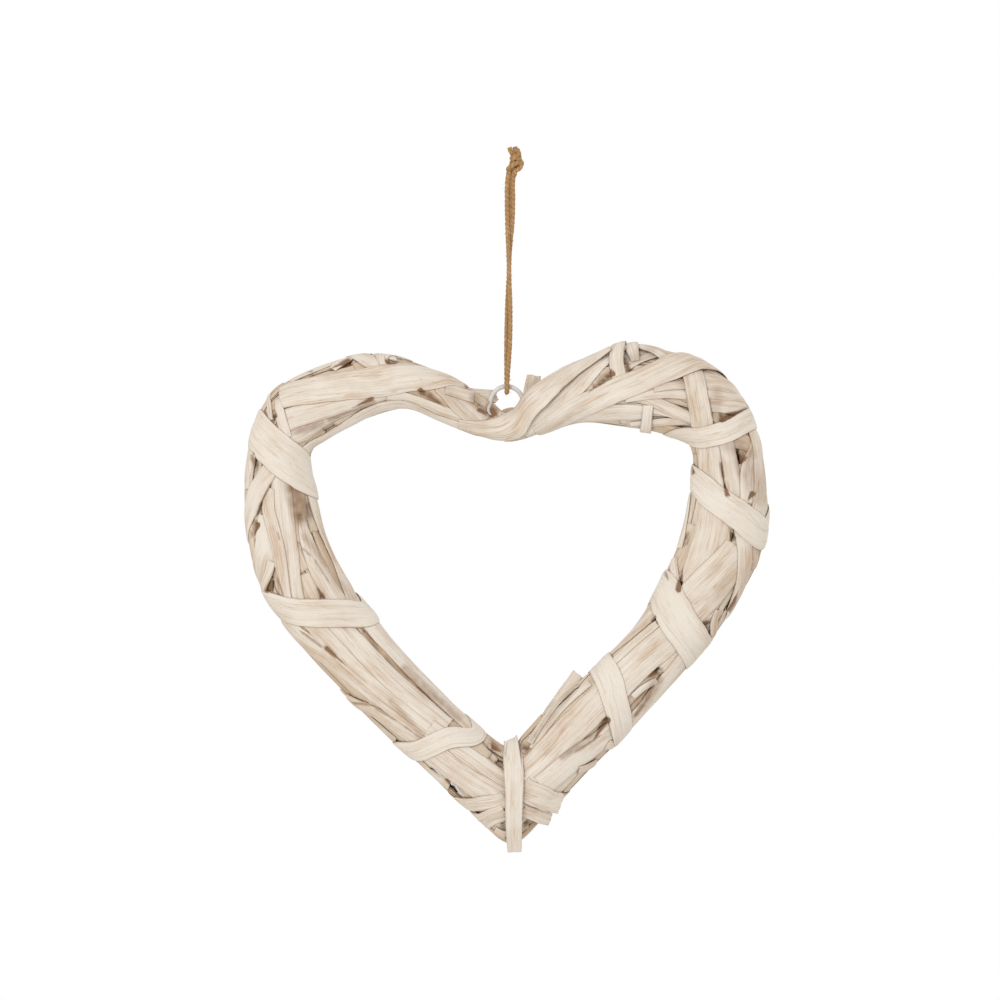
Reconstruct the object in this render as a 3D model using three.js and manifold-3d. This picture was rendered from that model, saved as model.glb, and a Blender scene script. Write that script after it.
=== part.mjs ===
// Heart wreath of flat husk strips on a bent wire, hung by a doubled jute string from a wire eye.
// Millimetres, +X right, +Z up, +Y to the back. The origin is the nail in the string's loop, just under the knot.
import * as THREE from 'three';
import { mergeVertices } from 'three/addons/utils/BufferGeometryUtils.js';
import Module from 'manifold-3d';

// Driving dimensions
const HEART_WIDTH = 300;
const LARGEST_HALF_DEPTH = 16;
const STRIP_THICKNESS = 1.1;
const CLEARANCE = 0.3;
const COVER = 2.6; // the strips that lie on the bundle stand this far out of it where the outline is drawn
const FIRST_LAYER = 1.2; // height of the lowest strip's underside over the bundle's ridges
const WIRE_RADIUS = 1.1;
const RING_WIRE_RADIUS = 1.3;
const RING_WIDTH = 18; // between the middles of the two legs
const RING_HEIGHT = 23.5;
const STRING_RADIUS = 1.3;

// Front view drawing: 531 of its units are the heart's width, and its V axis points down
const DRAWN_WIDTH = 531;
const UNIT = HEART_WIDTH / DRAWN_WIDTH;
const NAIL = { u: 511, v: 174 };
const across = (u) => (u - NAIL.u) * UNIT;
const up = (v) => (NAIL.v - v) * UNIT;
const TURN = 2 * Math.PI;

// Cross sections of the husk body, clockwise from the valley: outer rim u, v and inner rim u, v
const SECTIONS = [
  [510, 414, 510, 442], [533, 387, 540, 436], [575, 363, 580, 426], [625, 345, 625, 429],
  [683, 352, 660, 435], [732, 381, 686, 447], [760, 435, 689, 473], [771, 495, 686, 500],
  [767, 545, 675, 542], [742, 598, 658, 580], [702, 655, 630, 627], [650, 712, 597, 662],
  [590, 772, 552, 700], [548, 816, 523, 731], [511, 846, 512, 744], [470, 814, 495, 738],
  [425, 774, 452, 700], [370, 723, 410, 655], [318, 669, 380, 618], [275, 616, 347, 575],
  [250, 560, 327, 535], [241, 500, 320, 502], [248, 438, 313, 460], [270, 390, 328, 440],
  [320, 365, 365, 422], [378, 353, 407, 411], [440, 370, 440, 423], [488, 399, 480, 438],
];
const LOOP = SECTIONS.length;
const rim = (first) => new THREE.CatmullRomCurve3(
  SECTIONS.map((row) => new THREE.Vector3(across(row[first]), 0, up(row[first + 1]))), true, 'catmullrom', 0.5);
const OUTER_RIM = rim(0);
const INNER_RIM = rim(2);

function sectionAt(s) {
  const part = (((s % LOOP) + LOOP) % LOOP) / LOOP;
  const outer = OUTER_RIM.getPoint(part);
  const inner = INNER_RIM.getPoint(part);
  const drawnHalf = outer.distanceTo(inner) / 2;
  const outward = outer.clone().sub(inner).normalize();
  const half = drawnHalf - COVER;
  const depth = Math.min(LARGEST_HALF_DEPTH, 5 + 0.6 * half) - COVER / 2;
  return { middle: outer.lerp(inner, 0.5), outward, drawnHalf, half, depth };
}

// A point of the body: station s along the heart, angle phi round the limb (0 outer rim, a quarter turn front,
// half a turn inner rim), height above the bundle's surface
function surface(s, phi, height) {
  const { middle, outward, half, depth } = sectionAt(s);
  const normal = new THREE.Vector2(Math.cos(phi) / half, Math.sin(phi) / depth).normalize();
  const out = half * Math.cos(phi) + height * normal.x;
  const front = depth * Math.sin(phi) + height * normal.y;
  return middle.addScaledVector(outward, out).add(new THREE.Vector3(0, -front, 0));
}

// The station and angle of a drawn point on the front
function locate(u, v) {
  const point = new THREE.Vector3(across(u), 0, up(v));
  let best = { miss: Infinity };
  for (let s = 0; s < LOOP; s += 0.05) {
    const { middle, outward, drawnHalf } = sectionAt(s);
    const offset = point.clone().sub(middle);
    const out = offset.dot(outward);
    const miss = offset.addScaledVector(outward, -out).length() + Math.max(0, Math.abs(out) - 1.3 * drawnHalf);
    if (miss < best.miss) best = { miss, s, phi: Math.acos(THREE.MathUtils.clamp(out / drawnHalf, -1, 1)) };
  }
  return best;
}

// Rings of points joined into one closed skin, as a loop or with a cap on each end
function skin(rings, closed) {
  const size = rings[0].length;
  const index = [];
  const last = closed ? rings.length : rings.length - 1;
  for (let i = 0; i < last; i += 1) {
    const here = i * size;
    const next = ((i + 1) % rings.length) * size;
    for (let j = 0; j < size; j += 1) {
      const k = (j + 1) % size;
      index.push(here + j, here + k, next + k, here + j, next + k, next + j);
    }
  }
  if (!closed) {
    const end = (rings.length - 1) * size;
    for (let j = 1; j < size / 2; j += 1) {
      const [a, b, c, d] = [j - 1, j, size - j - 1, size - j];
      if (b !== c) index.push(a, c, b, end + a, end + b, end + c);
      index.push(a, d, c, end + a, end + c, end + d);
    }
  }
  const geometry = new THREE.BufferGeometry();
  geometry.setAttribute('position', new THREE.Float32BufferAttribute(rings.flat().flatMap((p) => p.toArray()), 3));
  geometry.setIndex(index);
  return geometry;
}

const wasm = await Module();
wasm.setup();

function solid(geometry) {
  const bare = geometry.clone();
  bare.deleteAttribute('normal');
  bare.deleteAttribute('uv');
  const merged = mergeVertices(bare, 1e-4);
  const vertProperties = new Float32Array(merged.attributes.position.array);
  const triVerts = new Uint32Array(merged.index.array);
  const body = new wasm.Manifold(new wasm.Mesh({ numProp: 3, vertProperties, triVerts }));
  if (body.volume() > 0) return body;
  return new wasm.Manifold(new wasm.Mesh({ numProp: 3, vertProperties, triVerts: triVerts.reverse() }));
}

// The largest piece of a cut body, without the slivers and shortest edges that the cuts leave
const SHORTEST_EDGE = 0.05;

function largestPiece(body) {
  const pieces = body.asOriginal().simplify(SHORTEST_EDGE).decompose();
  return pieces.reduce((best, piece) => (piece.volume() > best.volume() ? piece : best));
}

function geometryOf(body) {
  const mesh = body.getMesh();
  const geometry = new THREE.BufferGeometry();
  geometry.setAttribute('position', new THREE.Float32BufferAttribute(mesh.vertProperties, 3));
  geometry.setIndex([...mesh.triVerts]);
  geometry.computeVertexNormals();
  return geometry;
}

// Tube of a round section along a closed loop of points
function loopTube(points, radius, sides) {
  const curve = new THREE.CatmullRomCurve3(points, true, 'catmullrom', 0.5);
  const rings = points.map((point, i) => {
    const ahead = curve.getTangent(i / points.length);
    const side = new THREE.Vector3(0, 1, 0);
    const other = new THREE.Vector3().crossVectors(ahead, side).normalize();
    side.crossVectors(other, ahead);
    return Array.from({ length: sides }, (_, j) => point.clone()
      .addScaledVector(side, radius * Math.cos((j / sides) * TURN))
      .addScaledVector(other, radius * Math.sin((j / sides) * TURN)));
  });
  return skin(rings, true);
}

// Husk bundle: the lengthwise strips fused, as ridges along the limbs, with an open groove for the wire
const BODY_STEPS = 48;
const RIDGES = 8;
const RIDGE_DEPTH = 1.8;
const GROOVE = { phi: 0.55, halfWidth: 1.7, depth: 3.1 };

// One cross section of the bundle, or of the bundle grown outwards with its groove filled
function bundleRing(s, grow) {
  const ring = [];
  for (let k = 0; k < 2 * RIDGES; k += 1) {
    const phi = GROOVE.phi + ((k + 0.5) / (2 * RIDGES)) * TURN;
    ring.push(surface(s, phi, (k % 2 ? 0 : -RIDGE_DEPTH) + grow));
  }
  const { half, depth } = sectionAt(s);
  const turn = GROOVE.halfWidth / Math.hypot(half * Math.sin(GROOVE.phi), depth * Math.cos(GROOVE.phi));
  const lips = [[-1, grow], [1, grow]];
  if (!grow) lips.splice(1, 0, [-1, -GROOVE.depth], [1, -GROOVE.depth]);
  lips.forEach(([step, height]) => ring.push(surface(s, GROOVE.phi + step * turn, height)));
  return ring;
}

const bodyStations = Array.from({ length: BODY_STEPS }, (_, i) => (i / BODY_STEPS) * LOOP);
const bundleSkin = (grow) => solid(skin(bodyStations.map((s) => bundleRing(s, grow)), true));

// Frame wire in that groove, just inside the outer rim
const wireDepth = (GROOVE.depth + CLEARANCE) / 2;
const wireLine = bodyStations.map((s) => surface(s, GROOVE.phi, -wireDepth));

// Husk strips, from the innermost outwards. line: drawn points along the middle; width: drawn width;
// before and after: how far in mm the strip runs on round the limb past its first and last point;
// round: the strip closes on itself round the back of the limb
const STRIPS = [
  { name: 'strand_left_low_outer', width: 22, line: [[290, 632], [335, 665], [400, 712], [430, 733]], before: 9 },
  { name: 'strand_left_low_middle', width: 19, line: [[318, 628], [345, 655], [375, 680], [440, 728]], before: 9 },
  { name: 'strand_left_low_inner', width: 19, line: [[345, 628], [370, 655], [400, 683], [450, 722]], before: 9 },
  { name: 'strand_left_low_rim', width: 20, line: [[378, 626], [400, 652], [425, 678], [463, 716]], before: 9 },
  { name: 'strand_left_low_edge', width: 14, line: [[340, 700], [362, 718], [395, 745]], before: 6 },
  { name: 'strand_left_outer', width: 22, line: [[268, 520], [262, 552], [257, 575], [256, 598]], after: 8 },
  { name: 'strand_left_middle', width: 22, line: [[279, 475], [285, 510], [290, 555], [294, 602]], after: 6 },
  { name: 'strand_left_inner', width: 19, line: [[303, 505], [308, 540], [322, 570], [345, 606]], after: 6 },
  { name: 'strand_left_rim', width: 15, line: [[316, 508], [324, 533], [337, 560], [357, 602]], after: 6 },
  { name: 'strand_left_shoulder', width: 20, line: [[272, 466], [258, 487], [248, 508], [243, 530]], after: 16 },
  { name: 'fan_left_lower', width: 16, line: [[288, 440], [305, 432], [335, 415], [380, 400]] },
  { name: 'fan_left_upper', width: 20, line: [[283, 424], [315, 412], [350, 403], [385, 393]], after: 5 },
  { name: 'lobe_left_inner_strand', width: 14, line: [[385, 396], [410, 402], [440, 413], [468, 425]] },
  { name: 'lobe_left_outer_strand', width: 20, line: [[430, 388], [450, 398], [470, 413], [484, 424]] },
  { name: 'valley_left_strand', width: 14, line: [[450, 390], [470, 395], [488, 398]] },
  { name: 'lobe_left_rim', width: 15, line: [[314, 450], [335, 434], [372, 412], [397, 407], [430, 417], [470, 431]] },
  { name: 'lobe_left_crest', width: 14, line: [[308, 371], [340, 361], [372, 358], [398, 359]], before: 6 },
  { name: 'strand_right_low_middle', width: 31, line: [[530, 768], [555, 745], [580, 718], [605, 692]] },
  { name: 'strand_right_middle', width: 37, line: [[612, 682], [640, 655], [672, 630]], before: 4, after: 4 },
  { name: 'strand_right_low_edge', width: 22, line: [[550, 780], [575, 761], [606, 740]], after: 5 },
  { name: 'strand_right_edge', width: 20, line: [[636, 722], [655, 700], [670, 680], [688, 658]], before: 5 },
  { name: 'strand_right_rim', width: 16, line: [[603, 656], [628, 634], [650, 610]] },
  { name: 'loose_end', width: 11, line: [[528, 738], [550, 707], [576, 673]] },
  { name: 'strand_right_outer', width: 15, line: [[744, 540], [746, 565], [740, 592], [733, 610]], after: 4 },
  { name: 'strand_right_high', width: 38, line: [[712, 520], [706, 550], [692, 582]], before: 5, after: 3 },
  { name: 'strand_right_high_rim', width: 10, line: [[686, 500], [682, 520], [675, 550]] },
  { name: 'lobe_right_strand', width: 25, line: [[706, 448], [706, 472], [711, 500]], before: 8, after: 6 },
  { name: 'lobe_right_middle_strand', width: 16, line: [[724, 448], [732, 478], [738, 506]], before: 8, after: 6 },
  { name: 'lobe_right_outer_strand', width: 20, line: [[757, 438], [762, 465], [763, 490], [760, 512]], before: 6, after: 6 },
  { name: 'fan_right', width: 18, line: [[646, 404], [672, 412], [695, 424]], before: 8, after: 4 },
  { name: 'lobe_right_rim', width: 20, line: [[545, 431], [580, 421], [612, 416], [642, 414]], after: 16 },
  { name: 'lobe_right_upper_band', width: 19, line: [[700, 380], [725, 382], [748, 388]], before: 9, after: 26 },
  { name: 'lobe_right_lower_band', width: 17, line: [[705, 401], [730, 402], [754, 404]], before: 9, after: 26 },
  { name: 'strand_right_cross', width: 40, line: [[692, 602], [710, 585], [733, 562]], before: 6, after: 8 },
  { name: 'valley_right_strand', width: 20, line: [[522, 434], [545, 412], [570, 392], [608, 352]], before: 6, after: 12 },
  { name: 'crest_right', width: 16, line: [[618, 348], [616, 362], [619, 378]], before: 16 },
  { name: 'valley_band', width: 21, line: [[468, 429], [490, 431], [510, 425], [522, 411], [540, 395], [585, 361]],
    before: 16, after: 16 },
  { name: 'crown_right', width: 24, line: [[545, 430], [575, 412], [610, 394], [645, 377], [680, 363], [708, 358]],
    before: 18, after: 34 },
  { name: 'lobe_right_vertical', width: 21, line: [[690, 366], [697, 400], [701, 430]], before: 22, after: 4 },
  { name: 'crown_left', width: 28, line: [[287, 394], [305, 389], [345, 385], [385, 381], [425, 375]], after: 16 },
  { name: 'elbow_right_wrap', width: 22, line: [[672, 441], [700, 439], [725, 432], [745, 421], [757, 415]], round: true },
  { name: 'limb_right_wrap_upper', width: 28, line: [[689, 478], [712, 498], [738, 513], [768, 534]], round: true },
  { name: 'limb_right_wrap_middle', width: 38, line: [[657, 584], [668, 605], [682, 627], [702, 656]], round: true },
  { name: 'limb_right_wrap_lower', width: 27, line: [[598, 660], [607, 677], [615, 700], [625, 740]], round: true },
  { name: 'tip_left_upper', width: 24, line: [[440, 748], [475, 764], [510, 782]], before: 12, after: 4 },
  { name: 'tip_left_lower', width: 24, line: [[434, 758], [460, 776], [505, 800]], before: 12, after: 4 },
  { name: 'tip_left_edge', width: 17, line: [[458, 806], [482, 806], [508, 797]], before: 12 },
  { name: 'tip_left_end', width: 18, line: [[478, 823], [492, 818], [508, 812]], before: 10 },
  { name: 'tip_right_band', width: 24, line: [[520, 784], [545, 799], [563, 808]], after: 14 },
  { name: 'limb_left_wrap_middle', width: 28, line: [[262, 604], [300, 613], [340, 612], [375, 612]], round: true },
  { name: 'limb_left_wrap_lower', width: 19, line: [[402, 757], [415, 755], [448, 733], [480, 729]], round: true },
  { name: 'point_band', width: 17, line: [[513, 745], [514, 790], [514, 840]], before: 30, after: 6 },
  { name: 'shoulder_left', width: 38, line: [[252, 424], [277, 449], [292, 460], [317, 482]], round: true },
];

// The strip's middle line as a curve over the unrolled body: X mm along the heart, Y mm round the limb
const ALONG = 32;
const AROUND = 18;

function unrolled({ line, before = 0, after = 0, round = false }) {
  const points = [];
  for (const [u, v] of line) {
    const { s, phi } = locate(u, v);
    const past = points.length ? points.at(-1).x / ALONG : s;
    points.push(new THREE.Vector3((s + LOOP * Math.round((past - s) / LOOP)) * ALONG, phi * AROUND, 0));
  }
  const [first, end] = [points[0].clone(), points.at(-1).clone()];
  if (round) {
    const back = first.clone().sub(end);
    back.y += Math.sign(end.y - first.y) * TURN * AROUND;
    for (const part of [1 / 3, 2 / 3, 1]) points.push(end.clone().addScaledVector(back, part));
  }
  if (before) points.unshift(first.clone().addScaledVector(first.clone().sub(points[1]).normalize(), before));
  if (after) points.push(end.clone().addScaledVector(end.clone().sub(points.at(-2)).normalize(), after));
  return new THREE.CatmullRomCurve3(points, false, 'centripetal');
}

// The step in s and phi that goes one mm sideways from the line, square to it on the surface
function sideStep(s, phi, ds, dphi) {
  const small = 0.01;
  const here = surface(s, phi, 0);
  const alongS = surface(s + small, phi, 0).sub(here).divideScalar(small);
  const alongPhi = surface(s, phi + small, 0).sub(here).divideScalar(small);
  const [E, F, G] = [alongS.dot(alongS), alongS.dot(alongPhi), alongPhi.dot(alongPhi)];
  const [a, b] = [-(F * ds + G * dphi), E * ds + F * dphi];
  const length = Math.sqrt(a * a * E + 2 * a * b * F + b * b * G);
  return { s: a / length, phi: b / length };
}

// How high the strips already laid stand over the bundle, on a grid over the body
const GRID = { along: 600, around: 100 };
const heights = new Float32Array(GRID.along * GRID.around).fill(FIRST_LAYER);

function cellAt(s, phi) {
  const i = Math.floor((((s / LOOP) % 1) + 1) % 1 * GRID.along);
  const j = Math.floor((((phi / TURN) % 1) + 1) % 1 * GRID.around);
  return i * GRID.around + j;
}

// Lays one strip over what is there and returns its stations, each with the height of its underside
const STEP_ACROSS = 10.5;
const STEP_ALONG = 18;
const FEELER = 1.4; // spacing of the points that feel for what lies below
const STEEPEST = 0.3;

function lay(strip) {
  const curve = unrolled(strip);
  const length = curve.getLength();
  const half = (strip.width * UNIT) / 2;
  const start = curve.getPoint(0);
  const finish = curve.getPoint(1);
  const turning = Math.abs(finish.y - start.y) > Math.abs(finish.x - start.x);
  const count = Math.ceil(length / (turning ? STEP_ACROSS : STEP_ALONG));
  const feelers = Math.ceil(length / FEELER);
  const places = Array.from({ length: feelers + 1 }, (_, i) => {
    const here = curve.getPointAt(i / feelers);
    const ahead = curve.getTangentAt(i / feelers);
    const [s, phi] = [here.x / ALONG, here.y / AROUND];
    return { s, phi, side: sideStep(s, phi, ahead.x / ALONG, ahead.y / AROUND) };
  });
  const cells = places.map(({ s, phi, side }) => {
    const row = new Set();
    for (let q = -half; q <= half; q += FEELER) row.add(cellAt(s + q * side.s, phi + q * side.phi));
    return row;
  });
  const felt = cells.map((row) => Math.max(...[...row].map((cell) => heights[cell])));
  const reach = Math.ceil(length / count / FEELER / 2);
  const lifted = felt.map((_, i) => Math.max(...felt.map((h, j) => (
    h - STEEPEST * FEELER * Math.max(0, Math.abs(i - j) - reach)))));
  const top = STRIP_THICKNESS + CLEARANCE + 0.1;
  cells.forEach((row, i) => row.forEach((cell) => { heights[cell] = Math.max(heights[cell], lifted[i] + top); }));
  return Array.from({ length: strip.round ? count : count + 1 }, (_, i) => {
    const k = Math.round((i / count) * feelers);
    return { ...places[k], half, height: lifted[k] };
  });
}

// The solid of a laid strip, thinner along its two edges: convex cells between its stations, joined
function stripSolid(stations, round, widen, lower, raise) {
  const rings = stations.map(({ s, phi, side, half, height }) => {
    const wide = half + widen;
    const at = (q, h) => surface(s + q * side.s, phi + q * side.phi, height + h).toArray();
    const edge = STRIP_THICKNESS * 0.45 + raise;
    return [at(-wide, -lower), at(0, -lower), at(wide, -lower),
      at(wide, edge), at(0, STRIP_THICKNESS + raise), at(-wide, edge)];
  });
  if (round) rings.push(rings[0]);
  const cells = rings.slice(1).flatMap((next, i) => [[0, 1, 4, 5], [1, 2, 3, 4]].map((corners) => (
    wasm.Manifold.hull(corners.flatMap((k) => [rings[i][k], next[k]])))));
  return wasm.Manifold.union(cells);
}

// Wire eye: two straight legs and two half rounds, its lower half inside the bundle at the valley
const RING_TOP = { u: 506.8, v: 386.3 };

function ringLine(count) {
  const radius = RING_WIDTH / 2;
  const centre = new THREE.Vector3(across(RING_TOP.u), 0, up(RING_TOP.v) - radius);
  const leg = RING_HEIGHT - 2 * RING_WIRE_RADIUS - RING_WIDTH;
  return Array.from({ length: count }, (_, i) => {
    const angle = ((i + 0.5) / count) * TURN;
    const drop = Math.sin(angle) < 0 ? leg : 0;
    return centre.clone().add(new THREE.Vector3(radius * Math.cos(angle), 0, radius * Math.sin(angle) - drop));
  });
}

const ringTube = (grow) => loopTube(ringLine(18), RING_WIRE_RADIUS + grow, 8);

// Jute string, one length doubled through the eye: drawn u and v, and mm towards the back, from knot to knot
const STRING_LINE = [
  [511, 167.5, 0], [508.4, 175, -0.1], [507.2, 186, -0.3], [507, 200, -0.3], [507.3, 215, -0.4], [507.6, 230, -0.7],
  [508.4, 250, -1.4], [509, 270, -1.5], [509.4, 285, -1.5], [510, 300, -1.3], [510.3, 320, -1.1],
  [509.8, 345, -1.3], [508.4, 365, -1.9], [507.4, 378, -2.8], [507.1, 386, -3.3], [507, 390.4, -2.4],
  [506.9, 392.4, 0], [506.8, 390.4, 2.4], [506.7, 386, 3.3], [506.6, 378, 2.8], [506.5, 365, 1.9],
  [506.5, 345, 1.4], [506.9, 320, 1.2], [507.6, 300, 1.4], [508.4, 285, 1.5], [509, 270, 1.5],
  [509.8, 250, 1.5], [511.6, 230, 0.8], [512.8, 215, 0.3], [513, 200, 0], [512.8, 186, 0], [513.6, 175, 0], [516, 167.5, 0],
];

function roundTube(extrudePath, radius, steps) {
  const section = new THREE.Shape(Array.from({ length: 8 }, (_, i) => new THREE.Vector2(
    radius * Math.cos((i / 8) * TURN), radius * Math.sin((i / 8) * TURN))));
  return new THREE.ExtrudeGeometry(section, { steps, bevelEnabled: false, extrudePath });
}

function stringTube() {
  const points = STRING_LINE.map(([u, v, back]) => new THREE.Vector3(across(u), back, up(v)));
  return roundTube(new THREE.CatmullRomCurve3(points, false, 'centripetal'), STRING_RADIUS, 44);
}

// Knot of the two ends: a lump that leans right, a neck and the two short cut ends, with room for the string
function knotRoom() {
  const ends = [0, 1].map((side) => {
    const [u, v, back] = side ? STRING_LINE.at(-1) : STRING_LINE[0];
    const [u2, v2, back2] = side ? STRING_LINE.at(-2) : STRING_LINE[1];
    const far = new THREE.Vector3(across(u), back, up(v));
    const near = new THREE.Vector3(across(u2), back2, up(v2));
    const past = far.clone().sub(near).normalize();
    const line = new THREE.LineCurve3(near.addScaledVector(past, -2), far.addScaledVector(past, CLEARANCE));
    return solid(roundTube(line, STRING_RADIUS + CLEARANCE + 0.1, 1));
  });
  return ends[0].add(ends[1]);
}

function knot() {
  const lump = (u, v, back, wide, tall, deep) => {
    const ball = new THREE.SphereGeometry(0.5, 8, 5).scale(wide, deep, tall);
    return solid(ball.translate(across(u), back, up(v)));
  };
  const end = (u, v, back, lean) => {
    const stub = new THREE.CylinderGeometry(STRING_RADIUS, STRING_RADIUS, 6, 8).rotateX(Math.PI / 2).rotateY(lean);
    return solid(stub.translate(across(u), back, up(v)));
  };
  return lump(513.5, 167, 0, 7.6, 6.6, 7.4)
    .add(lump(517, 163.5, -0.6, 8, 6.2, 6))
    .add(lump(515.5, 156.5, 0, 5.2, 7, 5.2))
    .add(end(511.5, 151, -0.9, -0.35))
    .add(end(516, 151, 1, 0.1))
    .subtract(knotRoom());
}

// Materials
const finish = (color, roughness, metalness = 0) => new THREE.MeshStandardMaterial({ color, roughness, metalness });
const husk = finish(0xe3d3bd, 0.85);
const huskShade = finish(0xd6c3a8, 0.9);
const paintedWire = finish(0xdcd8cf, 0.5, 0.2);
const jute = finish(0xb08455, 0.95);

const heart = new THREE.Group();
function place(name, geometry, material) {
  const mesh = new THREE.Mesh(geometry, material);
  mesh.name = name;
  heart.add(mesh);
}

// From the outermost strip inwards, each one gives way to what already lies over it
const ringRoom = solid(ringTube(CLEARANCE));
const bundle = bundleSkin(0).subtract(ringRoom);
const bundleRoom = bundleSkin(CLEARANCE).add(bundle);
const laid = STRIPS.map((strip) => ({ ...strip, stations: lay(strip) })).reverse();
const covers = [];
for (const { name, stations, round } of laid) {
  let body = stripSolid(stations, round, 0, 0, 0).subtract(bundleRoom).subtract(ringRoom);
  for (const cover of covers) body = body.subtract(cover);
  place(name, geometryOf(largestPiece(body)), husk);
  covers.push(stripSolid(stations, round, CLEARANCE, CLEARANCE, 3));
}

place('husk_bundle', geometryOf(largestPiece(bundle)), huskShade);
place('frame_wire', geometryOf(largestPiece(solid(loopTube(wireLine, WIRE_RADIUS, 5)).subtract(ringRoom))), paintedWire);
place('hanging_ring', geometryOf(solid(ringTube(0))), paintedWire);
place('hanging_string', geometryOf(solid(stringTube())), jute);
place('string_knot', geometryOf(knot()), jute);

export default heart;
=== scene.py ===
# Heart wreath of whitewashed husk strips on a bent wire, hung by a jute string.
# Shapes are worked out in millimetres and written to the meshes in metres. The origin is the nail in the
# string's loop, just under the knot, with +X right, +Y to the back and +Z up.
import math

import bpy
import numpy as np
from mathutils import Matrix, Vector


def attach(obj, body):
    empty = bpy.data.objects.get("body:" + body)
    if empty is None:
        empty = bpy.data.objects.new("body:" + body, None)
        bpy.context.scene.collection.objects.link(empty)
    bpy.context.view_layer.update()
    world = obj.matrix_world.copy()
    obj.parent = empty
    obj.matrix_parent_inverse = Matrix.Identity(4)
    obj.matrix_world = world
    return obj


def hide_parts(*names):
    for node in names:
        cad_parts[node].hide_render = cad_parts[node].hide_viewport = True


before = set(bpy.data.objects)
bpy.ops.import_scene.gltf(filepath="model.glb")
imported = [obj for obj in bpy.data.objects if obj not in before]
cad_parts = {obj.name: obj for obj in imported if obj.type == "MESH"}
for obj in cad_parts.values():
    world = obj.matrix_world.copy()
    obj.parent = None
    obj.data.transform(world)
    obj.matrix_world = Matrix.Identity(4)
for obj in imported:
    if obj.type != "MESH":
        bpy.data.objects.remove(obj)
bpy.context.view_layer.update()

# Front view drawing, with its V axis pointing down: the heart's width in mm and drawn, and the picture's size
HEART_WIDTH = 300.0
DRAWN_HEART = 531.0
DRAWN_PICTURE = 1000.0
UNIT = HEART_WIDTH / DRAWN_HEART
NAIL = (511.0, 174.0)
TURN = 2 * math.pi


def across(u):
    return (np.asarray(u, float) - NAIL[0]) * UNIT


def up(v):
    return (NAIL[1] - np.asarray(v, float)) * UNIT


# Camera and light, placed in metres
CAMERA_DISTANCE = 3.0
SENSOR_WIDTH = 36
LIT_POINT = (0, 0, -0.2)


def place_in_scene(name, data, place=(0, 0, 0)):
    thing = bpy.data.objects.new(name, data)
    thing.location = place
    bpy.context.scene.collection.objects.link(thing)
    return thing


def make_camera():
    data = bpy.data.cameras.new("camera")
    data.sensor_width = SENSOR_WIDTH
    data.lens = SENSOR_WIDTH * CAMERA_DISTANCE / (DRAWN_PICTURE * UNIT / 1000)
    middle = DRAWN_PICTURE / 2
    camera = place_in_scene("camera", data, (across(middle) / 1000, -CAMERA_DISTANCE, up(middle) / 1000))
    camera.rotation_euler = (math.radians(90), 0, 0)
    bpy.context.scene.camera = camera


def area_light(name, place, size, watts):
    data = bpy.data.lights.new(name, "AREA")
    data.shape = "DISK"
    data.size = size
    data.energy = watts
    lamp = place_in_scene(name, data, place)
    lamp.rotation_euler = (Vector(LIT_POINT) - Vector(place)).to_track_quat("-Z", "Y").to_euler()


def make_light():
    world = bpy.data.worlds.new("white room")
    world.use_nodes = True
    background = world.node_tree.nodes["Background"]
    background.inputs["Color"].default_value = (1, 1, 1, 1)
    background.inputs["Strength"].default_value = 1.0
    bpy.context.scene.world = world
    bpy.context.scene.view_settings.view_transform = "Standard"
    area_light("key", (-1.0, -2.6, 0.45), 0.9, 29)
    area_light("fill", (1.6, 1.4, 0.6), 1.2, 10)


make_camera()
make_light()

# Body of the wreath: outer rim u, v and inner rim u, v of its sections, clockwise from the valley
SECTIONS = np.array([
    (510, 414, 510, 442), (533, 387, 540, 436), (575, 363, 580, 426), (625, 345, 625, 429),
    (683, 352, 660, 435), (732, 381, 686, 447), (760, 435, 689, 473), (771, 495, 686, 500),
    (767, 545, 675, 542), (742, 598, 658, 580), (702, 655, 630, 627), (650, 712, 597, 662),
    (590, 772, 552, 700), (548, 816, 523, 731), (511, 846, 512, 744), (470, 814, 495, 738),
    (425, 774, 452, 700), (370, 723, 410, 655), (318, 669, 380, 618), (275, 616, 347, 575),
    (250, 560, 327, 535), (241, 500, 320, 502), (248, 438, 313, 460), (270, 390, 328, 440),
    (320, 365, 365, 422), (378, 353, 407, 411), (440, 370, 440, 423), (488, 399, 480, 438),
], float)
LOOP = len(SECTIONS)
LARGEST_HALF_DEPTH = 16
COVER = 2.6  # how far in mm the strips stand out of the bundle at the drawn rims
OUTER_RIM = np.stack([across(SECTIONS[:, 0]), up(SECTIONS[:, 1])], axis=1)
INNER_RIM = np.stack([across(SECTIONS[:, 2]), up(SECTIONS[:, 3])], axis=1)


def rim_point(rim, s):
    cell = np.floor(s).astype(int)
    t = (s - cell)[..., None]
    a, b, c, d = (rim[(cell + k) % LOOP] for k in (-1, 0, 1, 2))
    return 0.5 * (2 * b + (c - a) * t + (2 * a - 5 * b + 4 * c - d) * t**2 + (3 * b - a - 3 * c + d) * t**3)


def section(s):
    outer = rim_point(OUTER_RIM, s)
    inner = rim_point(INNER_RIM, s)
    gap = outer - inner
    drawn_half = np.linalg.norm(gap, axis=-1) / 2
    outward = gap / (2 * drawn_half[..., None])
    half = drawn_half - COVER
    depth = np.minimum(LARGEST_HALF_DEPTH, 5 + 0.6 * half) - COVER / 2
    return (outer + inner) / 2, outward, drawn_half, half, depth


# Point at station s along the body, at angle phi round the limb (0 at the outer rim, a quarter turn in front)
# and at a height in mm over the bundle
def surface(s, phi, height):
    middle, outward, _, half, depth = section(s)
    normal = np.stack([np.cos(phi) / half, np.sin(phi) / depth])
    normal = normal / np.linalg.norm(normal, axis=0)
    out = half * np.cos(phi) + height * normal[0]
    front = depth * np.sin(phi) + height * normal[1]
    flat = middle + outward * out[..., None]
    return np.stack([flat[..., 0], -front, flat[..., 1]], axis=-1)


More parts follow.
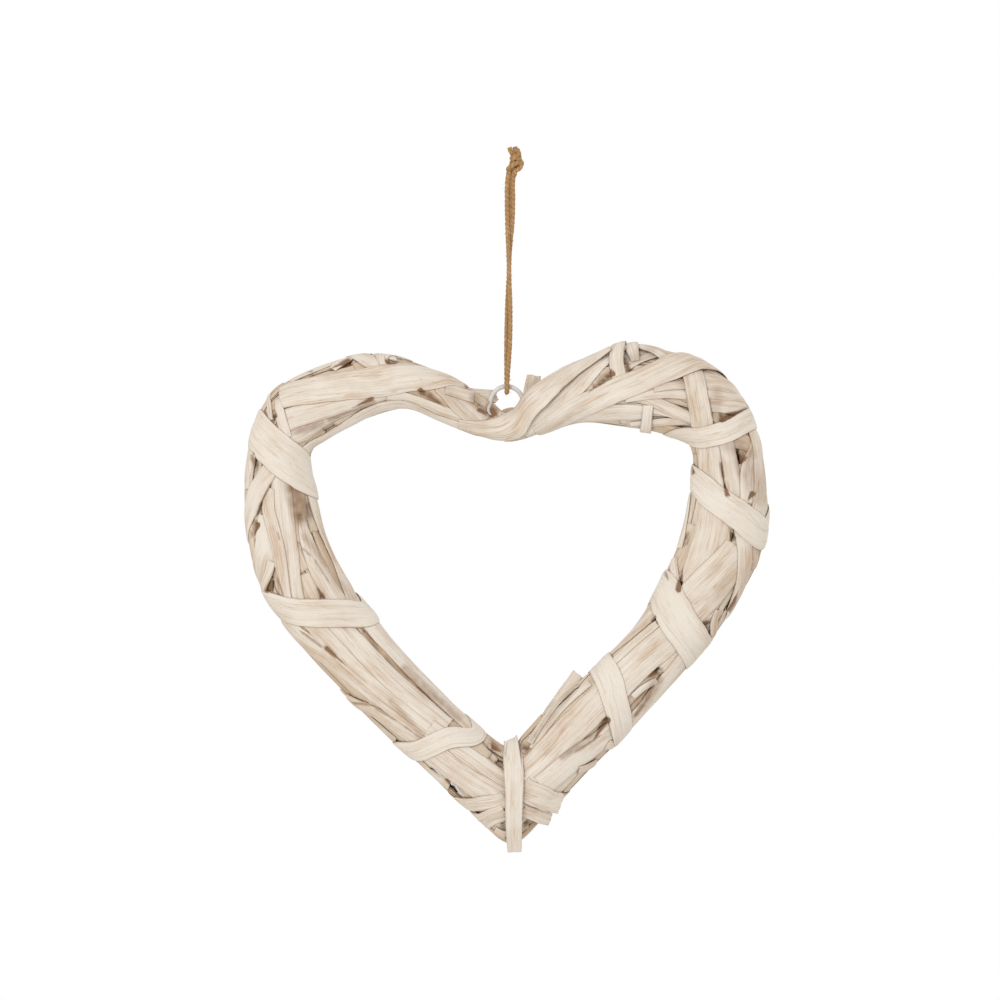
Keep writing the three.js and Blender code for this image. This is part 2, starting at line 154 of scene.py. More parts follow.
# Station and angle of a drawn point on the front
def locate(u, v):
    s = np.arange(0, LOOP, 0.02)
    middle, outward, drawn_half, _, _ = section(s)
    offset = np.array([across(u), up(v)]) - middle
    out = (offset * outward).sum(axis=1)
    miss = np.linalg.norm(offset - outward * out[:, None], axis=1)
    miss = miss + np.maximum(0, np.abs(out) - 1.3 * drawn_half)
    best = int(miss.argmin())
    return s[best], math.acos(max(-1.0, min(1.0, out[best] / drawn_half[best])))


# Where places on the body are in the drawing
def drawn_places(s, phi):
    place = surface(s, phi, np.ones_like(s))
    return place[..., 0] / UNIT + NAIL[0], NAIL[1] - place[..., 2] / UNIT


def distance_along(line):
    return np.concatenate([[0], np.cumsum(np.linalg.norm(np.diff(line, axis=0), axis=1))])


# Seeded smooth noise in one and two directions, from -1 to 1
TABLE = np.random.default_rng(7).uniform(-1, 1, 8192)
STEP_X, STEP_Y, STEP_SEED = 374761, 668265, 7919  # how far apart neighbours and seeds are in the table


def noise(x, y=0.0, seed=0):
    x, y = np.broadcast_arrays(np.asarray(x, float), np.asarray(y, float))
    i, j = np.floor(x).astype(int), np.floor(y).astype(int)
    fx, fy = x - i, y - j
    fx, fy = fx * fx * (3 - 2 * fx), fy * fy * (3 - 2 * fy)

    def corner(a, b):
        return TABLE[((i + a) * STEP_X + (j + b) * STEP_Y + seed * STEP_SEED) % (len(TABLE) - 1)]

    low = corner(0, 0) * (1 - fx) + corner(1, 0) * fx
    high = corner(0, 1) * (1 - fx) + corner(1, 1) * fx
    return low * (1 - fy) + high * fy


WRAP = dict(wrap=True, tone=0.45)

# Strips from the innermost outwards: name, drawn width (one or one for each point), drawn line, how far in mm
# it runs on before and after that line, and options. wrap: it goes round the back of the limb; thick: mm;
# flat: 1 for a smooth pressed strip, 0 for a ribbed one; tone: -1 browner to 1 whitewashed, and on the recess
# strips the low tone is painted shade; lift: mm over what it lies on, one or one for each drawn point
STRIPS = [
    ("strand_left_low_edge", 14, [(340, 699), (362, 717), (397, 746)], 4, 0, dict(tone=-0.5)),
    ("small_left_low", 14, [(350, 702), (375, 715), (400, 730), (426, 746)], 4, 0, dict(tone=-0.3)),
    ("strand_left_low_outer", (22, 22, 19, 15), [(290, 632), (335, 664), (400, 711), (432, 735)], 9, 0),
    ("strand_left_low_middle", 20, [(318, 628), (345, 655), (375, 680), (442, 730)], 9, 0, dict(tone=0.15)),
    ("strand_left_low_inner", 20, [(345, 628), (370, 655), (400, 683), (452, 724)], 9, 0, dict(tone=0.15)),
    ("strand_left_low_rim", 22, [(377, 624), (402, 652), (427, 678), (466, 716)], 9, 8, dict(tone=0.1)),
    # Recess strip: its low tone is painted shade in the recess
    ("small_left_recess", 17, [(298, 478), (300, 500), (304, 530)], 0, 10, dict(tone=-1.0)),
    ("strand_left_outer", 26, [(270, 514), (264, 548), (259, 575), (257, 600)], 0, 6),
    ("small_left_curl", 9, [(273, 560), (267, 575), (262, 590)], 0, 4),
    ("strand_left_inner", (5, 14, 20, 20), [(303, 513), (309, 540), (322, 570), (345, 606)], 0, 6),
    ("strand_left_rim", (12, 14, 15, 15), [(313, 490), (323, 525), (337, 558), (358, 604)], 4, 6),
    ("strand_left_middle", 20, [(280, 470), (285, 510), (290, 555), (294, 602)], 0, 6, dict(flat=0)),
    ("small_left_strand", (10, 13, 13, 13, 12, 12),
     [(270, 485), (268, 505), (273, 525), (278, 545), (282, 570), (286, 600)], 0, 5),
    ("small_left_rim", 12, [(251, 440), (247, 463), (245, 492)], 5, 0),
    ("small_left_rim_cross", 9, [(256, 457), (270, 457)], 0, 0),
    ("strand_left_shoulder", (18, 20, 20, 14), [(272, 466), (258, 487), (248, 508), (243, 534)], 0, 6),
    ("fan_left_lower", (14, 22, 21, 14), [(288, 442), (305, 433), (335, 415), (380, 400)], 0, 0),
    ("fan_left_upper", 22, [(283, 424), (315, 412), (350, 402), (390, 392)], 0, 5),
    ("small_fan_left", (8, 11, 11), [(278, 400), (282, 418), (289, 440)], 3, 0),
    ("small_shoulder_left", 6, [(275, 380), (269, 390), (268, 405), (271, 422)], 4, 0),
    ("lobe_left_inner_strand", 14, [(385, 396), (410, 402), (440, 413), (470, 426)], 0, 6),
    ("lobe_left_outer_strand", 18, [(446, 388), (457, 401), (470, 413), (486, 426)], 6, 0),
    ("valley_left_strand", 13, [(450, 388), (464, 393), (477, 397)], 4, 0),
    ("lobe_left_rim", (12, 14, 15, 15, 14, 13, 12),
     [(304, 460), (330, 438), (350, 427), (372, 414), (397, 407), (430, 417), (470, 431)],
     0, 9, dict(tone=0.2)),
    ("lobe_left_crest", (8, 11, 12, 11), [(292, 378), (320, 366), (350, 356), (398, 357)], 4, 0),
    ("small_crest_left_leaf", 8, [(330, 370), (350, 357), (366, 352)], 0, 4, dict(tone=0.3)),
    ("small_crest_left", 17, [(354, 352), (368, 360), (386, 370)], 6, 0),
    ("small_crest_left_point", (20, 6), [(382, 351), (384, 368)], 6, 0, dict(tone=0.3)),
    ("small_crest_left_end", 7, [(391, 354), (414, 358)], 0, 0),
    ("small_right_low_thin", 8, [(530, 748), (560, 706), (590, 678)], 0, 0),
    ("strand_right_low_middle", 31, [(524, 775), (555, 745), (580, 718), (605, 692)], 6, 4, dict(flat=0)),
    ("strand_right_middle", 37, [(612, 682), (640, 655), (672, 630)], 4, 4, dict(flat=0)),
    ("strand_right_low_edge", 24, [(546, 784), (575, 761), (606, 740)], 6, 5, dict(tone=0.15)),
    ("small_right_low_bit", 11, [(577, 772), (594, 766)], 0, 4, dict(tone=-0.4)),
    ("small_right_low_end", 12, [(606, 745), (622, 752)], 0, 5),
    ("strand_right_edge", 20, [(636, 722), (655, 700), (670, 680), (690, 656)], 5, 0),
    ("small_right_curl", 7, [(631, 699), (645, 687), (660, 679)], 0, 0, dict(tone=0.6)),
    ("strand_right_rim", 12, [(603, 656), (628, 634), (652, 610)], 0, 0),
    ("small_right_rim", 8, [(608, 664), (632, 642), (657, 620)], 0, 0),
    ("small_right_low_rim", 9, [(530, 738), (552, 706), (588, 666)], 4, 0),
    ("small_right_outer", 14, [(752, 532), (759, 550), (757, 566)], 4, 4, dict(tone=-0.8)),
    ("small_right_grey", 9, [(721, 608), (716, 626), (714, 642)], 0, 0, dict(tone=-0.4)),
    ("strand_right_high", 38, [(712, 520), (706, 550), (692, 584)], 14, 3, dict(flat=0)),
    ("strand_right_high_rim", 10, [(687, 495), (682, 520), (675, 550)], 4, 0),
    ("small_right_high_rim", 10, [(671, 556), (673, 588)], 0, 4),
    # Recess strip: its low tone is painted shade in the recess
    ("small_right_recess", 16, [(733, 440), (752, 444)], 5, 5, dict(tone=-1.0)),
    ("lobe_right_strand", 25, [(706, 446), (706, 472), (711, 500)], 8, 6, dict(flat=0)),
    ("lobe_right_middle_strand", (14, 17, 17), [(726, 446), (732, 478), (738, 506)], 8, 6),
    ("small_right_panel", (9, 20, 24), [(757, 434), (752, 466), (752, 506)], 0, 0, dict(tone=0.2)),
    ("lobe_right_outer_strand", 20, [(758, 436), (763, 465), (764, 490), (761, 514)], 6, 6),
    ("small_fan_right_low", 9, [(632, 427), (694, 426)], 4, 0),
    ("small_fan_right_middle", 9, [(630, 410), (692, 424)], 4, 0),
    ("fan_right", (12, 12, 10), [(634, 397), (672, 412), (700, 427)], 4, 0),
    ("small_fan_right_high", 10, [(628, 399), (692, 396)], 4, 0),
    ("small_fan_right_top", 11, [(650, 388), (692, 384)], 0, 0, dict(tone=-0.3)),
    ("lobe_right_rim", (16, 20, 19, 15), [(538, 434), (580, 421), (612, 416), (642, 415)], 0, 3),
    ("small_fan_right_knob", (10, 12), [(648, 404), (645, 430)], 0, 6, dict(tone=0.4, lift=(0.2, 1.2))),
    ("lobe_right_upper_band", 26, [(694, 383), (722, 383), (748, 389)], 6, 24),
    ("lobe_right_lower_band", 22, [(703, 402), (730, 402), (755, 405)], 6, 24),
    ("strand_right_cross", (42, 42, 38), [(690, 603), (712, 583), (738, 557)], 6, 6),
    ("strand_right_outer", 16, [(742, 530), (746, 562), (742, 592), (733, 614)], 6, 4),
    ("lobe_right_vertical", 22, [(691, 368), (697, 400), (701, 430)], 12, 6),
    ("small_crest_right_inner", 9, [(624, 368), (652, 352)], 4, 4),
    ("small_crest_right", 13, [(641, 345), (670, 357)], 5, 6, dict(lift=(1.2, 0.6))),
    ("small_crest_right_point", (18, 8), [(628, 343), (636, 362)], 6, 0, dict(tone=0.3, lift=(1.0, 0))),
    ("valley_right_strand", (18, 20, 20, 18), [(524, 433), (545, 412), (570, 391), (608, 352)], 4, 12),
    ("crest_right", 15, [(618, 348), (616, 362), (619, 380)], 16, 0, dict(lift=(1.2, 0.2, 0))),
    ("valley_band", (13, 19, 22, 22, 22, 21),
     [(464, 427), (490, 431), (509, 427), (523, 411), (541, 394), (586, 360)],
     6, 16, dict(lift=(0, 0.3, 0.6, 2.2, 3.4, 0.8))),
    ("crown_right", (22, 23, 24, 24, 27, 30),
     [(543, 432), (575, 412), (610, 394), (645, 378), (680, 363), (706, 357)],
     8, 24, dict(lift=(0, 0, 0, 0.1, 0.8, 0.8))),
    ("crown_left", (26, 28, 29, 29, 27, 24),
     [(277, 397), (305, 390), (345, 385), (385, 381), (424, 376), (449, 376)], 0, 16),
    ("elbow_right_wrap", 22, [(672, 441), (700, 439), (725, 432), (745, 421), (757, 415)], 0, 0, WRAP),
    ("limb_right_wrap_upper", (24, 27, 29, 33), [(689, 478), (712, 498), (738, 514), (766, 534)], 0, 0, WRAP),
    ("limb_right_wrap_middle", 38, [(657, 584), (668, 605), (682, 627), (702, 656)], 0, 0, WRAP),
    ("limb_right_wrap_lower", (29, 28, 25, 24), [(598, 660), (607, 677), (615, 700), (625, 740)], 0, 0, WRAP),
    ("tip_left_upper", 26, [(444, 743), (475, 764), (510, 784)], 12, 4),
    ("small_tip_left_roll", 12, [(422, 768), (435, 781), (450, 792)], 4, 0),
    ("tip_left_lower", 25, [(436, 757), (460, 776), (505, 800)], 12, 4),
    ("tip_left_edge", 17, [(458, 806), (482, 804), (508, 795)], 10, 0),
    ("tip_left_end", 19, [(478, 822), (492, 817), (508, 810)], 8, 0),
    ("small_tip_left_end", 10, [(496, 833), (508, 838)], 3, 0),
    ("small_tip_right", 14, [(520, 808), (536, 816), (550, 822)], 0, 5),
    ("tip_right_band", 24, [(518, 783), (542, 797), (560, 806)], 0, 8),
    ("limb_left_wrap_middle", 28, [(262, 604), (300, 613), (340, 612), (372, 612)], 0, 0, WRAP),
    ("limb_left_wrap_lower", (24, 22, 21, 18), [(400, 753), (420, 750), (447, 737), (480, 732)],
     0, 0, dict(wrap=True, tone=0.3, flat=1.0)),
    ("point_band", (14, 18, 17, 15), [(513, 742), (514, 775), (514, 810), (514, 846)],
     26, 0, dict(thick=1.4, lift=(2.6, 0.6, 0, 0), tone=0.35)),
    ("shoulder_left", (36, 38, 40, 42), [(252, 424), (277, 449), (292, 460), (317, 481)],
     0, 0, dict(wrap=True, tone=0.42)),
]

# Deep openings between the strips: drawn segments with their width. What lies under them is sunk and painted
# dark, as painted shade
GAPS = [
    (265, 392, 265, 401, 3), (276, 417, 275, 405, 5), (334, 419, 342, 418, 2), (372, 399, 350, 409, 4.5),
    (349, 362, 330, 371, 4.5), (309, 373, 314, 372, 2), (388, 363, 407, 360, 4.5), (420, 391, 434, 400, 6),
    (430, 397, 448, 409, 4.5), (464, 389, 469, 389, 3), (480, 409, 488, 417, 7), (487, 406, 496, 416, 9),
    (251, 456, 257, 453, 2), (252, 456, 256, 470, 3), (274, 482, 264, 500, 2), (264, 500, 258, 515, 2.5),
    (258, 524, 249, 540, 7), (279, 531, 281, 540, 1.5), (269, 590, 275, 572, 5), (278, 576, 285, 596, 2),
    (324, 597, 317, 584, 4.5), (299, 545, 313, 557, 1.5), (313, 557, 330, 583, 1.5),
    (308, 500, 313, 521, 2.5), (300, 630, 325, 648, 2), (328, 648, 350, 667, 4.5), (363, 626, 382, 652, 2),
    (382, 652, 413, 680, 1.5), (413, 680, 456, 721, 1.2), (350, 701, 372, 705, 2), (372, 705, 400, 721, 1.5),
    (400, 721, 425, 740, 1.2), (493, 742, 503, 752, 7), (526, 744, 525, 754, 6), (447, 781, 452, 791, 5.5),
    (454, 787, 465, 794, 5.5), (525, 826, 533, 814, 5), (502, 825, 505, 831, 3), (573, 686, 578, 682, 3),
    (651, 621, 656, 615, 3), (607, 719, 590, 744, 6), (600, 735, 572, 752, 2.5), (659, 670, 645, 680, 5.5),
    (654, 684, 645, 703, 3), (645, 703, 634, 717, 3), (706, 622, 710, 638, 6), (678, 589, 682, 564, 5.5),
    (662, 563, 669, 580, 2.5), (731, 611, 738, 590, 5.5), (693, 473, 690, 462, 5), (719, 461, 723, 480, 2.5),
    (726, 495, 722, 478, 4.5), (743, 460, 733, 450, 6), (752, 493, 746, 501, 5.5), (732, 539, 728, 527, 5.5),
    (686, 532, 684, 548, 2), (612, 373, 602, 382, 8), (604, 380, 588, 393, 5), (628, 370, 623, 352, 5),
    (721, 419, 749, 408, 7.5), (706, 388, 712, 420, 1.5), (668, 348, 672, 352, 3),
]

# Soft brown shade in hollows and under the edges of upper strips: drawn segments, width and depth of tone
SHADES = [
    (294, 486, 302, 516, 15, 0.6), (405, 668, 458, 718, 6, 0.35), (738, 452, 756, 494, 16, 0.2),
    (728, 443, 744, 456, 14, 0.4), (716, 392, 714, 424, 9, 0.25), (668, 376, 690, 388, 9, 0.3),
    (446, 392, 474, 418, 10, 0.2), (296, 432, 322, 424, 6, 0.4), (330, 420, 374, 402, 4, 0.4),
    (640, 704, 656, 680, 10, 0.4), (756, 540, 764, 556, 9, 0.4), (474, 400, 486, 414, 8, 0.4),
    (526, 826, 544, 816, 8, 0.35), (562, 756, 604, 724, 5, 0.4), (696, 632, 706, 660, 6, 0.25),
    (532, 740, 574, 690, 5, 0.3), (438, 746, 470, 734, 3, 0.3), (622, 366, 650, 352, 9, 0.25),
    (600, 630, 640, 606, 4, 0.2), (304, 536, 352, 600, 5, 0.25), (392, 700, 430, 742, 5, 0.25),
]

# Openings this wide narrow from their first end to the second one, and the others taper at both ends
WEDGE = (4.2, 8.0)
PAST_ENDS = 0.15  # how far openings run on past the ends of their segment, as a part of its length


# How far along a drawn segment places are, as a part of its length, and how far away from it
def beside(u, v, u1, v1, u2, v2, past):
    du, dv = u2 - u1, v2 - v1
    t = np.clip(((u - u1) * du + (v - v1) * dv) / (du * du + dv * dv), -past, 1 + past)
    return t, np.hypot(u - u1 - t * du, v - v1 - t * dv)


# 1 on the front, fading to 0 at the rims and behind
def on_front(phi):
    return np.clip(np.sin(phi) * 3, 0, 1)


# How strong the soft shades are at places, from 0 to 1
def shaded(s, phi):
    u, v = drawn_places(s, phi)
    depth = np.zeros_like(u)
    for u1, v1, u2, v2, wide, strength in SHADES:
        _, away = beside(u, v, u1, v1, u2, v2, 0)
        depth = np.maximum(depth, strength * np.clip(1.4 - 1.6 * away / wide, 0, 1))
    return depth * on_front(phi) * (0.85 + 0.3 * noise(u / 5, v / 5, 91))


# How deep in an opening places are, from 0 to 1, for openings widened by a margin and with edges that fade.
# The depth sinks places, and on the husk it sets how dark the painted shade is
def opening(s, phi, margin, fade):
    u, v = drawn_places(s, phi)
    depth = np.zeros_like(u)
    uneven = 0.35 * noise(u / 2.3, v / 2.3, 90)
    for u1, v1, u2, v2, wide in GAPS:
        t, away = beside(u, v, u1, v1, u2, v2, PAST_ENDS)
        if WEDGE[0] <= wide <= WEDGE[1]:
            taper = np.clip(1.05 - 0.95 * t, 0, 1) * np.clip((t + PAST_ENDS) / 0.1, 0, 1)
        else:
            taper = np.clip((1.25 - np.abs(2 * t - 1)) / 0.6, 0, 1)
        dark = min(1.0, 0.4 + wide / 10)
        depth = np.maximum(depth, dark * np.clip(((wide / 2 + margin) * taper + uneven - away) / fade, 0, 1))
    return depth * on_front(phi)


# The body unrolled: nominal mm for one section along it and for one radian round it
ALONG = 32.0
AROUND = 18.0
LAP = 0.09  # how far a wrap lies over its own start, as a part of its way round the back


# Smooth curve through points, closely sampled, with the parameter of each sample in points
def smooth_line(points, samples=40):
    points = np.asarray(points, float)
    padded = np.vstack([2 * points[0] - points[1], points, 2 * points[-1] - points[-2]])
    line, where = [], []
    for k in range(len(points) - 1):
        a, b, c, d = padded[k:k + 4]
        da, db, dc = (max(np.linalg.norm(q - p), 1e-6) ** 0.5 for p, q in ((a, b), (b, c), (c, d)))
        m = ((b - a) / da - (c - a) / (da + db) + (c - b) / db) * db
        n = ((c - b) / db - (d - b) / (db + dc) + (d - c) / dc) * db
        t = np.arange(samples)[:, None] / samples
        line.append((2 * t**3 - 3 * t**2 + 1) * b + (t**3 - 2 * t**2 + t) * m
                    + (3 * t**2 - 2 * t**3) * c + (t**3 - t**2) * n)
        where.append(k + t[:, 0])
    line.append(points[-1:])
    where.append([len(points) - 1.0])
    return np.vstack(line), np.concatenate(where)


# A strip's line on the unrolled body, run on past its ends or closed round the back with a lap, and the
# drawn point that each of its points takes its width from
def unrolled_line(line, before, after, wrap):
    def run_on(end, inner, distance):
        return end + (end - inner) / np.linalg.norm(end - inner) * distance

    points = []
    for u, v in line:
        s, phi = locate(u, v)
        past = points[-1][0] / ALONG if points else s
        points.append(np.array([(s + LOOP * round((past - s) / LOOP)) * ALONG, phi * AROUND]))
    drawn = list(range(len(points)))
    first, last = points[0], points[-1]
    if wrap:
        turn = math.copysign(TURN * AROUND, last[1] - first[1])
        back = first + (0, turn) - last
        points = [last + back * f - (0, turn) for f in (0.5 - LAP, 0.75)] + points
        points += [last + back * f for f in (0.25, 0.5 + LAP)]
        drawn = [0, 0] + drawn + [len(line) - 1] * 2
    if before:
        points.insert(0, run_on(first, points[1], before))
        drawn.insert(0, 0)
    if after:
        points.append(run_on(last, points[-2], after))
        drawn.append(len(line) - 1)
    return np.array(points), drawn


# The change of s and phi that goes one mm sideways, square to the line on the body
def side_step(s, phi, ds, dphi):
    small, flat = 0.01, np.zeros_like(s)
    here = surface(s, phi, flat)
    along_s = (surface(s + small, phi, flat) - here) / small
    along_phi = (surface(s, phi + small, flat) - here) / small
    e = (along_s * along_s).sum(-1)
    f = (along_s * along_phi).sum(-1)
    g = (along_phi * along_phi).sum(-1)
    a, b = -(f * ds + g * dphi), e * ds + f * dphi
    length = np.sqrt(a * a * e + 2 * a * b * f + b * b * g)
    return a / length, b / length


# Heights of what is laid so far, on a grid over the body
GRID = (1100, 110)
heights = np.full(GRID, -COVER)


def cells(s, phi):
    i = np.floor((s / LOOP) % 1 * GRID[0]).astype(int) % GRID[0]
    j = np.floor((phi / TURN) % 1 * GRID[1]).astype(int) % GRID[1]
    return i, j


def shifted(a, k, axis):
    return a.take(np.clip(np.arange(a.shape[axis]) + k, 0, a.shape[axis] - 1), axis=axis)


def spread_highest(a, radius, axis):
    best = a
    for k in range(-radius, radius + 1):
        best = np.maximum(best, shifted(a, k, axis))
    return best


def blur(a, sigma, axis):
    reach = int(math.ceil(2.5 * sigma))
    total, weights = np.zeros_like(a), 0.0
    for k in range(-reach, reach + 1):
        weight = math.exp(-0.5 * (k / sigma) ** 2)
        total += weight * shifted(a, k, axis)
        weights += weight
    return total / weights


# The course of a strip at even steps: distance, station, angle, half width and lift
def strip_course(points, drawn, width, lift, step):
    line, where = smooth_line(points)
    s, phi = line[:, 0] / ALONG, line[:, 1] / AROUND
    run = distance_along(surface(s, phi, np.full(len(s), 1.5)))
    nodes = np.linspace(0, run[-1], max(4, int(round(run[-1] / step))) + 1)
    s, phi = np.interp(nodes, run, s), np.interp(nodes, run, phi)
    s, phi = blur(s, 2.0 / step, 0), blur(phi, 2.0 / step, 0)
    at, order = np.interp(nodes, run, where), np.arange(len(points))
    half = np.interp(at, order, width[drawn]) * UNIT / 2
    lifts = np.broadcast_to(np.array(lift, float), width.shape)
    return nodes, s, phi, half, np.interp(at, order, lifts[drawn])


# What a strip rests on, at each node of its course and q mm to its sides: a stiff strip bridges what is low
def resting_heights(s, phi, side_s, side_phi, half, widest, step, stiff):
    reach = float(half.max()) + 1.2
    q = np.linspace(-reach, reach, 2 * int(math.ceil(reach)) + 1)
    spacing = q[1] - q[0]
    below = heights[cells(s[:, None] + q * side_s[:, None], phi[:, None] + q * side_phi[:, None])]
    below = np.where(np.abs(q) > widest[:, None] + 0.6, below.min(), below)
    reach_along, reach_sideways = 2.5 + 5.0 * stiff, 1.2 + 2.4 * stiff
    below = spread_highest(below, max(1, int(round(reach_along / step))), 0)
    below = spread_highest(below, max(1, int(round(reach_sideways / spacing))), 1)
    return q, blur(blur(below, 0.7 * reach_along / step, 0), 0.7 * reach_sideways / spacing, 1)


# Values of a grid at places between its nodes
def read_between(grid, rows, cols):
    r0 = np.clip(rows.astype(int), 0, len(grid) - 2)
    c0 = cols.astype(int)
    fr, fc = rows - r0, cols - c0
    return ((grid[r0, c0] * (1 - fr) + grid[r0 + 1, c0] * fr) * (1 - fc)
            + (grid[r0, c0 + 1] * (1 - fr) + grid[r0 + 1, c0 + 1] * fr) * fc)


CREASE_SPACING = 4.2
PLY_SPACING = 3.6
RAGGED = 0.5  # mm that the ends of a strip are uneven by


# Relief of a strip in mm, and its creases from 0 to 1: fine fibres, creases and the steps of folded plies
def strip_grain(along, sideways, width, flat, rng, seed):
    fine, coarse = noise(sideways / 0.75, along / 60, seed + 1), noise(sideways / 1.9, along / 80, seed + 2)
    fibre = 0.05 * fine + 0.08 * coarse
    crease = np.zeros_like(sideways)
    for k in range(int(round(width / CREASE_SPACING))):
        at = rng.uniform(-0.85, 0.85) * width / 2 + 1.1 * noise(along / 45, k, seed + 3)
        strong = np.clip(0.1 + 1.1 * noise(along / 26, k, seed + 4), 0, 1)
        crease = np.maximum(crease, strong * np.exp(-((sideways - at) / 0.3) ** 2))
    plies = np.zeros_like(sideways)
    for k in range(int(round(width / PLY_SPACING))):
        at = rng.uniform(-0.8, 0.8) * width / 2 + 1.3 * noise(along / 38, 20 + k, seed + 7)
        shown = np.clip(0.5 + noise(along / 30, 40 + k, seed + 8), 0, 1)
        plies += rng.choice([-0.1, 0.1]) * np.tanh((sideways - at) / 0.3) * shown
    return (1.2 - 0.8 * flat) * fibre + plies * (1.1 - 0.7 * flat) - 0.12 * crease, crease


# Values part of the way from each node to the next one
def partway(a, part, axis):
    first, last = (a[:-1], a[1:]) if axis == 0 else (a[:, :-1], a[:, 1:])
    return first * (1 - part) + last * part


# Raises the heights on the grid to the top of a strip
def mark_heights(s, phi, top, raster):
    for a in range(raster):
        rows = [partway(values, a / raster, 0) for values in (s, phi, top)]
        for part in (0.0, 0.5):
            s_place, phi_place, height = (partway(values, part, 1) for values in rows)
            np.maximum.at(heights, cells(s_place, phi_place), height)


# Lays one strip over what is there and returns its points, faces, UV and shading values.
# step, mesh_across: size of its mesh in mm; lap: its end lies on its start; gap: mm over what it rests on;
# stiff: 1 bridges hollows widely; sink: mm down in openings, with their wide margin if deep; full: the height
# in mm up to which it keeps its whole relief; shade_on: it takes the soft shades
def lay_strip(points, drawn, width, seed, step=1.1, mesh_across=0.46, thick=0.5, flat=0.5, tone=0.0,
              lift=0.0, lap=False, raster=3, gap=0.04, stiff=0.4, sink=0.9, deep=False, full=3.6,
              shade_on=True):
    rng = np.random.default_rng(seed)
    nodes, s, phi, half, raised = strip_course(points, drawn, width, lift, step)
    length = nodes[-1]
    side_s, side_phi = side_step(s, phi, np.gradient(s), np.gradient(phi))
    half_left, half_right = (half * (1 + 0.03 * noise(nodes / 18, a, seed) + 0.02 * noise(nodes / 4, b, seed))
                             for a, b in ((0, 3), (7, 9)))
    drift = 0.15 * noise(nodes / 26, 5, seed)
    widest = np.maximum(half_left, half_right)
    q, below = resting_heights(s, phi, side_s, side_phi, half, widest, step, stiff)
    if lap:
        ramp = np.clip((nodes - (length - 17)) / 5, 0, 1)
        below = below + (thick + 0.15) * (ramp * ramp * (3 - 2 * ramp))[:, None]

    lanes = max(6, int(math.ceil(2 * half.max() / mesh_across)))
    turn = np.linspace(-1, 1, lanes + 1)
    v = 0.55 * turn + 0.45 * np.sin(turn * math.pi / 2)
    slack = np.clip(1 - np.minimum(nodes, length - nodes) / 4, 0, 1)[:, None]
    shift = RAGGED * (noise(v * 3.1, 1, seed) + 0.6 * noise(v * 9, 2, seed)) + 0.5 * rng.uniform(-1, 1) * v
    along = np.clip(nodes[:, None] + shift * slack, 0, length)
    inward = np.where(nodes < length / 2, 1, -1)[:, None]
    along = np.clip(along + 0.9 * inward * slack, 0, length)

    def spread(values):
        return np.interp(along, nodes, values)

    sideways = np.where(v < 0, v * spread(half_left), v * spread(half_right)) + spread(drift)
    ss, pp = spread(s) + sideways * spread(side_s), spread(phi) + sideways * spread(side_phi)
    cols = np.clip((sideways - q[0]) / (q[1] - q[0]), 0, len(q) - 1.001)
    base = read_between(below, along / length * (len(nodes) - 1), cols)

    pressed = np.clip((full - base) / 2.0, 0.3, 1.0)
    round_off = (1 - np.abs(v) ** 5) ** 0.5
    grain, crease = strip_grain(along, sideways, 2 * float(half.mean()), flat, rng, seed)
    wave = 0.05 * noise(along / 9, sideways / 7, seed + 5) + 0.1 * noise(along / 28, sideways / 12, seed + 6)
    tilt = 0.12 * v * noise(along / 28, 4, seed)
    cup = 0.1 * (1 - v**2)
    body = thick * pressed * np.clip(0.5 + 0.5 * (1 - slack**2), 0, 1)
    hollow = opening(ss, pp, 2.2, 2.6) if deep else opening(ss, pp, 0.8, 1.2)
    bends = pressed * (np.maximum(tilt, -0.08) + np.maximum(wave, -0.06) + 0.06)
    sheet = base + gap + spread(raised) + bends - sink * hollow
    droop = 0.04 + 0.7 * np.clip(base - heights[cells(ss, pp)], 0, 1.2)
    droop = droop * (1 - (1 - v**6) ** 0.5)
    top = sheet + body * (0.4 + 0.6 * round_off) + round_off * (pressed * (grain + cup)) - droop
    bottom = sheet + body * 0.4 * (1 - round_off) - droop
    mark_heights(ss, pp, top, raster)

    tone = np.full_like(sideways, tone + 0.12 * rng.uniform(-1, 1))
    still = np.zeros_like(sideways)
    # On the top, edges are painted browner, partly as unpainted husk and partly as painted shade; openings
    # and the soft shades are painted dark, as painted shade
    shade = dict(edge=np.abs(v) ** 10 + still, crease=crease, tone=tone,
                 hollow=np.maximum(hollow, 0.15 + shaded(ss, pp) if shade_on else 0))
    # The underside is painted darker and browner, as painted shade under the strip
    under = dict(edge=still + 0.3, crease=still, tone=tone - 0.5, hollow=hollow)
    uv = np.stack([along + 37.0 * (seed % 97), sideways + 23.0 * (seed % 89)], axis=-1)
    return weave(surface(ss, pp, top), surface(ss, pp, bottom)[:, 1:-1], uv, shade, under)


# Four-cornered faces between rings of points, each row to the next one
def ring_faces(rows, size, closed=False):
    last = rows if closed else rows - 1
    base = np.arange(last)[:, None] * size
    following = (base + size) % (rows * size)
    lane = np.arange(size)
    after = (lane + 1) % size
    return np.stack([base + lane, base + after, following + after, following + lane], axis=-1).reshape(-1, 4)


